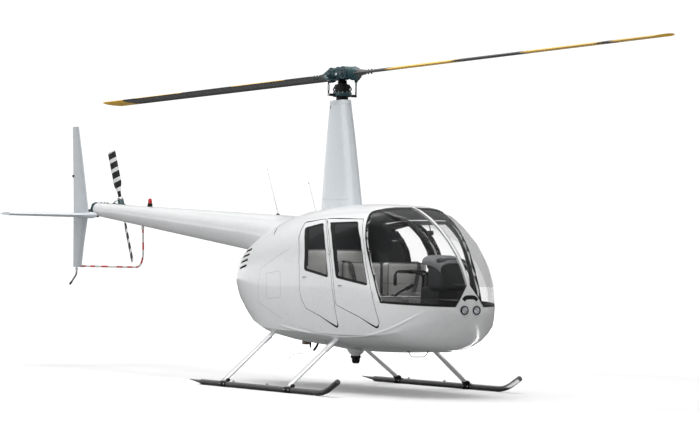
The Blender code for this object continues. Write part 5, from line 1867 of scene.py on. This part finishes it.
class HELI_OT_seats(bpy.types.Operator):
    """Upholster the four seats and lay their belts"""

    bl_idname = "heli.seats"
    bl_label = "Seats and belts"

    def execute(self, context):
        sizes = context.scene.heli_seats
        rows = (("front", 0.700, FRONT_BACK_TOP, 1), ("rear", -0.2997, 1.420, 0))
        flutes = [(1, MAST.y + 0.27 + y) for y in (-0.12, -0.04, 0.04, 0.12)]
        low, high = at(0.84, 0.035, SEAT_FOOT), at(1.22, 0.505, 0.96)
        cushion = swollen(low, high, flutes + [(0, MAST.x + 1.13)], sizes)
        low, high = at(0.70, 0.035, SEAT_FOOT), at(0.8397, 0.505, FRONT_BACK_TOP)
        back = swollen(low, high, flutes + [(2, 1.20)], sizes)
        for end, x, top, levels in rows:
            height = top - SEAT_FOOT
            for side, y in (("port", 0.27), ("starboard", -0.27)):
                corner = f"{end}_{side}"
                shift = Vector((x - 0.70, y - 0.27, 0))
                look = {"smooth": 180, "subdivide": levels}
                mesh = reused(cushion, shift)
                seat = settle(
                    f"seat_cover_{corner}", mesh, "seat leather", replaces=(f"cushion_{corner}",), **look,
                )
                mesh = reused(back, shift, height / (FRONT_BACK_TOP - SEAT_FOOT))
                rest = settle(
                    f"back_cover_{corner}", mesh, "seat leather", replaces=(f"seat_back_{corner}",), **look,
                )
                piping = Form()
                corners = ((0.022, -0.213, 180), (0.358, -0.213, 270), (0.358, 0.213, 0), (0.022, 0.213, 90))
                for z in (0.874, 0.946):
                    loop = rounded_loop(corners, 0.014, lambda u, v: at(x + 0.14 + u, y + v, z))
                    piping.tube(loop, sizes.piping, 8)
                corners = (
                    (-0.213, 0.022, 180), (0.213, 0.022, 270), (0.213, height - 0.022, 0),
                    (-0.213, height - 0.022, 90),
                )
                for depth in (0.016, 0.124):
                    loop = rounded_loop(corners, 0.014, lambda u, v: at(x + depth, y + u, SEAT_FOOT + v))
                    piping.tube(loop, sizes.piping, 8)
                piping.piece(f"seat_piping_{corner}", "seat piping")
                belts(corner, x, y, top, sizes)
        boxes, studs = Form(), []
        for _, x, _, _ in rows:
            for k in range(5):
                y = -0.46 + 0.23 * k
                boxes.block((0.4995, y - 0.085, 0.64), (0.5030, y + 0.085, 0.82), 0.002, moved(at(x, 0, 0)))
                for dy in (-0.075, 0.075):
                    studs += [(at(x + 0.503, y + dy, z), Vector((1, 0, 0))) for z in (0.652, 0.808)]
        boxes.piece("seat_box_panels", "grey carpet")
        Form().studs(studs, 0.0045, 0.002, 10).piece("seat_box_studs", "brushed steel")
        return {"FINISHED"}


def webbing_strip(form, path, half, width_at):
    """Flat webbing along a path; `width_at` gives its direction across."""
    rows = []
    for i, point in enumerate(path):
        along = heading(path, i)
        wide = width_at(i, along).normalized() * half
        up = wide.cross(along).normalized() * 0.0012
        rows.append([point - wide - up, point + wide - up, point + wide + up, point - wide + up])
    form.loft(rows)


def belts(corner, x, y, top, sizes):
    """A lap belt with its buckle and a shoulder belt over the back."""
    half = sizes.belt / 2
    webbing, metal = Form(), Form()
    z = 0.968
    for s in (1, -1):
        run = [(0.150, 0.236 * s, 0.885), (0.165, 0.228 * s, 0.935), (0.215, 0.200 * s, z + 0.004)]
        run += [(0.280, 0.120 * s, z + 0.008), (0.310, 0.036 * s, z + 0.010)]
        path = bend([at(x + a, y + b, c) for a, b, c in run], 0.03, 4)
        outs = (Vector((0, s, 0.4)), Vector((0, s * 0.3, 1)))
        webbing_strip(webbing, path, half, lambda i, along: along.cross(outs[i > 6]))
    place = moved(at(x + 0.312, y, z + 0.013))
    metal.block((-0.030, -0.036, -0.005), (0.030, 0.036, 0.007), 0.004, place)
    metal.block((-0.020, -0.022, 0.006), (0.020, 0.024, 0.0105), 0.003, place)
    outer = -1 if y < 0 else 1
    run = [
        (0.010, 0.150, top - 0.10), (0.006, 0.150, top + 0.006), (0.080, 0.148, top + 0.010),
        (0.146, 0.140, top - 0.030),
    ]
    run += [(0.150, 0.100, 1.10), (0.176, 0.050, 0.985), (0.300, 0.010, z + 0.016)]
    path = bend([at(x + a, y + b * outer, c) for a, b, c in run], 0.03, 4)
    webbing_strip(webbing, path, half, lambda i, along: Vector((0, 1, 0)) - along * along.y)
    webbing.piece(f"belts_{corner}", "belt webbing", smooth=30)
    metal.piece(f"belt_buckle_{corner}", "brushed steel")


# Cockpit


class CockpitSizes(bpy.types.PropertyGroup):
    """Sizes of the cockpit's fittings"""

    dial: length("Dial", "Radius of a large instrument", 0.039)
    grip: length("Grip", "Radius of a hand grip", 0.017)


class HELI_OT_cockpit(bpy.types.Operator):
    """Fit the instruments, hood, grips, levers, pedals, mats and lining"""

    bl_idname = "heli.cockpit"
    bl_label = "Cockpit"

    def execute(self, context):
        sizes = context.scene.heli_cockpit
        self.instruments(sizes.dial)
        self.switches()
        self.controls(sizes.grip)
        self.cabin_trim()
        for name in WHITE_SHELLS:
            line_inside(name)
        return {"FINISHED"}

    def instruments(self, r):
        rims, dials, glasses, needles = Form(), Form(), Form(), Form()
        spots = [
            (-0.118, 1.262, r), (-0.036, 1.262, r), (0.046, 1.262, r), (0.124, 1.262, r * 0.85),
            (-0.118, 1.178, r),
        ]
        spots += [(-0.036, 1.178, r), (0.046, 1.178, r), (0.124, 1.186, r * 0.70), (0.124, 1.128, r * 0.55)]
        for i, (y, z, size) in enumerate(spots):
            place = on_panel(y, z)
            ring = [(size + 0.002, -0.001), (size + 0.002, 0.005), (size, 0.0085), (size - 0.004, 0.0075)]
            rims.turned(ring + [(size - 0.0045, 0.002)], place, 36)
            dials.turned([(size - 0.004, 0.0010), (size - 0.004, 0.0018), (0.001, 0.0018)], place, 36)
            glasses.turned([(size - 0.0045, 0.0052), (size - 0.0045, 0.0060), (0.001, 0.0062)], place, 36)
            turn = place @ spun(0.7 + 1.9 * i, "Z")
            needles.block((-0.0010, -size * 0.15, 0.0024), (0.0010, size * 0.72, 0.0032), 0.0, turn)
            needles.turned([(0.0032, 0.002), (0.0032, 0.0038), (0.0015, 0.0042)], place, 12)
            for a in angles(12):
                tick = place @ spun(a, "Z")
                needles.block((-0.0006, size * 0.74, 0.0017), (0.0006, size * 0.86, 0.0022), 0.0, tick)
        rims.piece("instrument_rims", "crackle paint")
        dials.piece("instrument_dials", "dial face")
        needles.piece("instrument_needles", "dial marks")
        glasses.piece("instrument_glasses", "lamp glass")
        rows = []
        for turn in (pi * k / 24 for k in range(25)):
            y = -0.190 * abs(cos(turn)) ** 0.7 * (1 if cos(turn) > 0 else -1)
            top = 1.272 + 0.090 * max(0.0, sin(turn)) ** 0.6
            rows.append([at(x, y * share, top + rise) for x, share, rise in HOOD])
        Form().loft(rows).piece("instrument_hood", "grey lining", smooth=50)

    def switches(self):
        radios, knobs, pedestal = Form(), Form(), Form()
        for z in (1.105, 1.062):
            place = on_panel(-0.040, z)
            radios.block((-0.018, -0.085, -0.001), (0.018, 0.085, 0.005), 0.003, place)
            radios.block((-0.008, -0.050, 0.0048), (0.010, 0.050, 0.0062), 0.001, place)
            for y in (-0.070, 0.070):
                rows = [(0.009, 0.004), (0.009, 0.014), (0.0075, 0.018), (0.002, 0.0184)]
                knobs.turned(rows, place @ moved((0, y, 0)), 18)
            for k in range(5):
                y = -0.030 + 0.015 * k
                knobs.block((-0.0145, y - 0.005, 0.0048), (-0.0105, y + 0.005, 0.0075), 0.0008, place)
        for k in range(7):
            place = on_panel(0.090 + 0.012 * (k % 4), 1.090 - 0.030 * (k // 4))
            knobs.turned(
                [(0.0045, -0.001), (0.0045, 0.003), (0.0018, 0.0035), (0.0024, 0.015), (0.001, 0.016)],
                place, 12,
            )
        for y in (-0.158, 0.158):
            for z in (1.040, 1.315):
                bolt(knobs, on_panel(y, z), 0.004, 0.004)
        radios.piece("radio_faces", "moulded trim")
        knobs.piece("panel_knobs", "crackle paint")
        for z in (0.98, 0.90, 0.82):
            place = moved(at(1.6395, 0, z)) @ spun(-pi / 2, "Y")
            pedestal.block((-0.030, -0.100, -0.001), (0.030, 0.100, 0.004), 0.003, place)
            for y in (-0.07, -0.025, 0.025, 0.07):
                rows = [(0.011, 0.003), (0.011, 0.010), (0.008, 0.014), (0.002, 0.0145)]
                pedestal.turned(rows, place @ moved((0, y, 0)), 18)
        pedestal.piece("pedestal_controls", "crackle paint")

    def controls(self, g):
        grips, levers, stick = Form(), Form(), Form()
        for s in (1, -1):
            path = [
                (1.300, 0.150 * s, 1.200), (1.300, 0.176 * s, 1.196), (1.303, 0.192 * s, 1.170),
                (1.306, 0.196 * s, 1.085),
            ]
            levers.tube(bend([at(*p) for p in path], 0.02), 0.0105, 14)
            rings = [
                (0.0112, 0.0), (g, 0.004), (g * 0.92, 0.022), (g * 1.05, 0.040), (g * 0.92, 0.058),
                (g * 1.05, 0.076),
            ]
            grips.turned(
                rings + [(g * 0.95, 0.094), (g, 0.104), (0.009, 0.110)], moved(at(1.3065, 0.196 * s, 1.062)),
                24,
            )
            place = moved(at(1.318, 0.196 * s, 1.150)) @ spun(pi / 2, "Y")
            grips.turned([(0.004, 0.0), (0.004, 0.006), (0.002, 0.008)], place, 12)
            y = 0.008 if s > 0 else -0.53
            path = [at(0.93, y, 0.90), at(1.05, y, 0.985), at(1.30, y, 1.060)]
            levers.tube(bend(path, 0.08), 0.011, 14)
            place = facing(path[1].lerp(path[2], 0.62), (path[2] - path[1]).normalized())
            grips.turned(
                [(0.0112, 0.0), (g * 1.05, 0.003), (g * 1.05, 0.105), (g * 0.9, 0.112), (0.004, 0.113)],
                place, 24,
            )
            for y in (0.20 * s, 0.36 * s):
                levers.tube(
                    bend([at(1.80, y, 0.602), at(1.82, y, 0.66), at(1.90, y, 0.755)], 0.04), 0.008, 12,
                )
                plate = moved(at(1.905, y, 0.765)) @ spun(radians(-32), "Y")
                grips.block((-0.008, -0.048, -0.046), (0.006, 0.048, 0.046), 0.006, plate)
                for k in range(6):
                    z = -0.036 + 0.014 * k
                    grips.block((-0.0105, -0.042, z - 0.0025), (-0.0075, 0.042, z + 0.0025), 0.001, plate)
        levers.piece("control_levers", "black enamel")
        grips.piece("control_grips", "black rubber")
        profile = []
        for t in (k / 24 for k in range(25)):
            profile.append((0.070 - 0.050 * t + 0.005 * cos(2 * pi * 5 * t), 0.602 + 0.085 * t))
        Form().turned(profile, moved(at(1.470, 0, 0)), 36).piece("stick_gaiter", "black rubber")
        stick.turned_band(0.0145, 0.024, 0.0, 0.016, 0.012, moved(at(1.505, 0, 1.165)), 24)
        stick.turned_band(
            0.0165, 0.0225, 0.0, 0.022, 0.018, moved(at(1.300, 0, 1.200)) @ spun(pi / 2, "X"), 24,
        )
        stick.piece("stick_collars", "crackle paint")

    def cabin_trim(self):
        mats, wall, compass = Form(), Form(), Form()
        ground, bulkhead = moved(at(0, 0, 0)), moved(at(-0.330, 0, 0))
        for s in (1, -1):
            for x, x_to, near, far, top in FLOOR_MATS:
                y = (near, far) if s > 0 else (-far, -near)
                mats.block((x, y[0], 0.6004), (x_to, y[1], top), 0.004, ground)
            for row in range(4):
                z = 1.00 + 0.145 * row
                half = 0.245 - 0.028 * row
                y = (0.012, 0.012 + 2 * half * 0.86) if s > 0 else (-0.012 - 2 * half * 0.86, -0.012)
                wall.block((0.0004, y[0], z - 0.066), (0.013, y[1], z + 0.066), 0.010, bulkhead, steps=3)
        mats.piece("floor_mats", "grey carpet")
        wall.piece("bulkhead_pads", "grey lining", smooth=60)
        compass.block(
            (-0.022, -0.026, -0.024), (0.022, 0.026, 0.022), 0.009, moved(at(1.62, 0, 1.580)), steps=3,
        )
        compass.tube([at(1.62, 0, 1.60), at(1.60, 0, 1.66), at(1.575, 0, 1.715)], 0.005, 10)
        compass.piece("compass", "crackle paint")


def on_panel(y, z):
    """A placing on the instrument panel's face, whose Z axis points aft."""
    return moved(at(1.7985, y, z)) @ spun(-pi / 2, "Y")


# The hood's section: X, share of the width and rise
HOOD = (
    (1.757, 1.0, -0.005), (1.755, 1.0, 0.0), (1.762, 1.0, 0.004), (1.86, 1.0, 0.002),
    (1.94, 0.97, -0.014), (2.010, 0.90, -0.045), (2.034, 0.86, -0.074), (2.024, 0.85, -0.078),
    (2.000, 0.88, -0.053), (1.935, 0.95, -0.021), (1.86, 0.98, -0.006),
)
# Floor mats: from X, to X, the inner edge, the outer edge and the top's height
FLOOR_MATS = (
    (1.205, 1.62, 0.015, 0.505, 0.6100), (1.62, 1.80, 0.125, 0.44, 0.6090),
    (0.205, 0.695, 0.010, 0.565, 0.6100),
)


class HELI_PT_panel(bpy.types.Panel):
    """Lists the steps that dress the helicopter"""

    bl_idname = "HELI_PT_panel"
    bl_label = "Helicopter"
    bl_space_type = "VIEW_3D"
    bl_region_type = "UI"
    bl_category = "Helicopter"

    def draw(self, context):
        for operator in OPERATORS:
            self.layout.operator(operator.bl_idname)


SIZE_GROUPS = {
    "heli_glazing": GlazingSizes, "heli_doors": DoorSizes, "heli_seams": SeamSizes, "heli_lamps": LampSizes,
    "heli_rotor": RotorSizes, "heli_gear": GearSizes, "heli_seats": SeatSizes, "heli_cockpit": CockpitSizes,
    "heli_stage": StageSizes,
}
OPERATORS = (
    HELI_OT_airframe, HELI_OT_glazing, HELI_OT_doors, HELI_OT_seams, HELI_OT_lamps, HELI_OT_rotor_head,
    HELI_OT_blades, HELI_OT_tail, HELI_OT_gear, HELI_OT_belly, HELI_OT_seats, HELI_OT_cockpit, HELI_OT_stage,
)


def register():
    for name, kind in SIZE_GROUPS.items():
        bpy.utils.register_class(kind)
        setattr(bpy.types.Scene, name, PointerProperty(type=kind))
    for kind in (*OPERATORS, HELI_PT_panel):
        bpy.utils.register_class(kind)


def unregister():
    for kind in (HELI_PT_panel, *reversed(OPERATORS)):
        bpy.utils.unregister_class(kind)
    for name, kind in SIZE_GROUPS.items():
        delattr(bpy.types.Scene, name)
        bpy.utils.unregister_class(kind)


def main():
    register()
    build_effects()
    build_finishes()
    for operator in OPERATORS:
        category, name = operator.bl_idname.split(".")
        getattr(getattr(bpy.ops, category), name)()


if __name__ == "__main__":
    main()
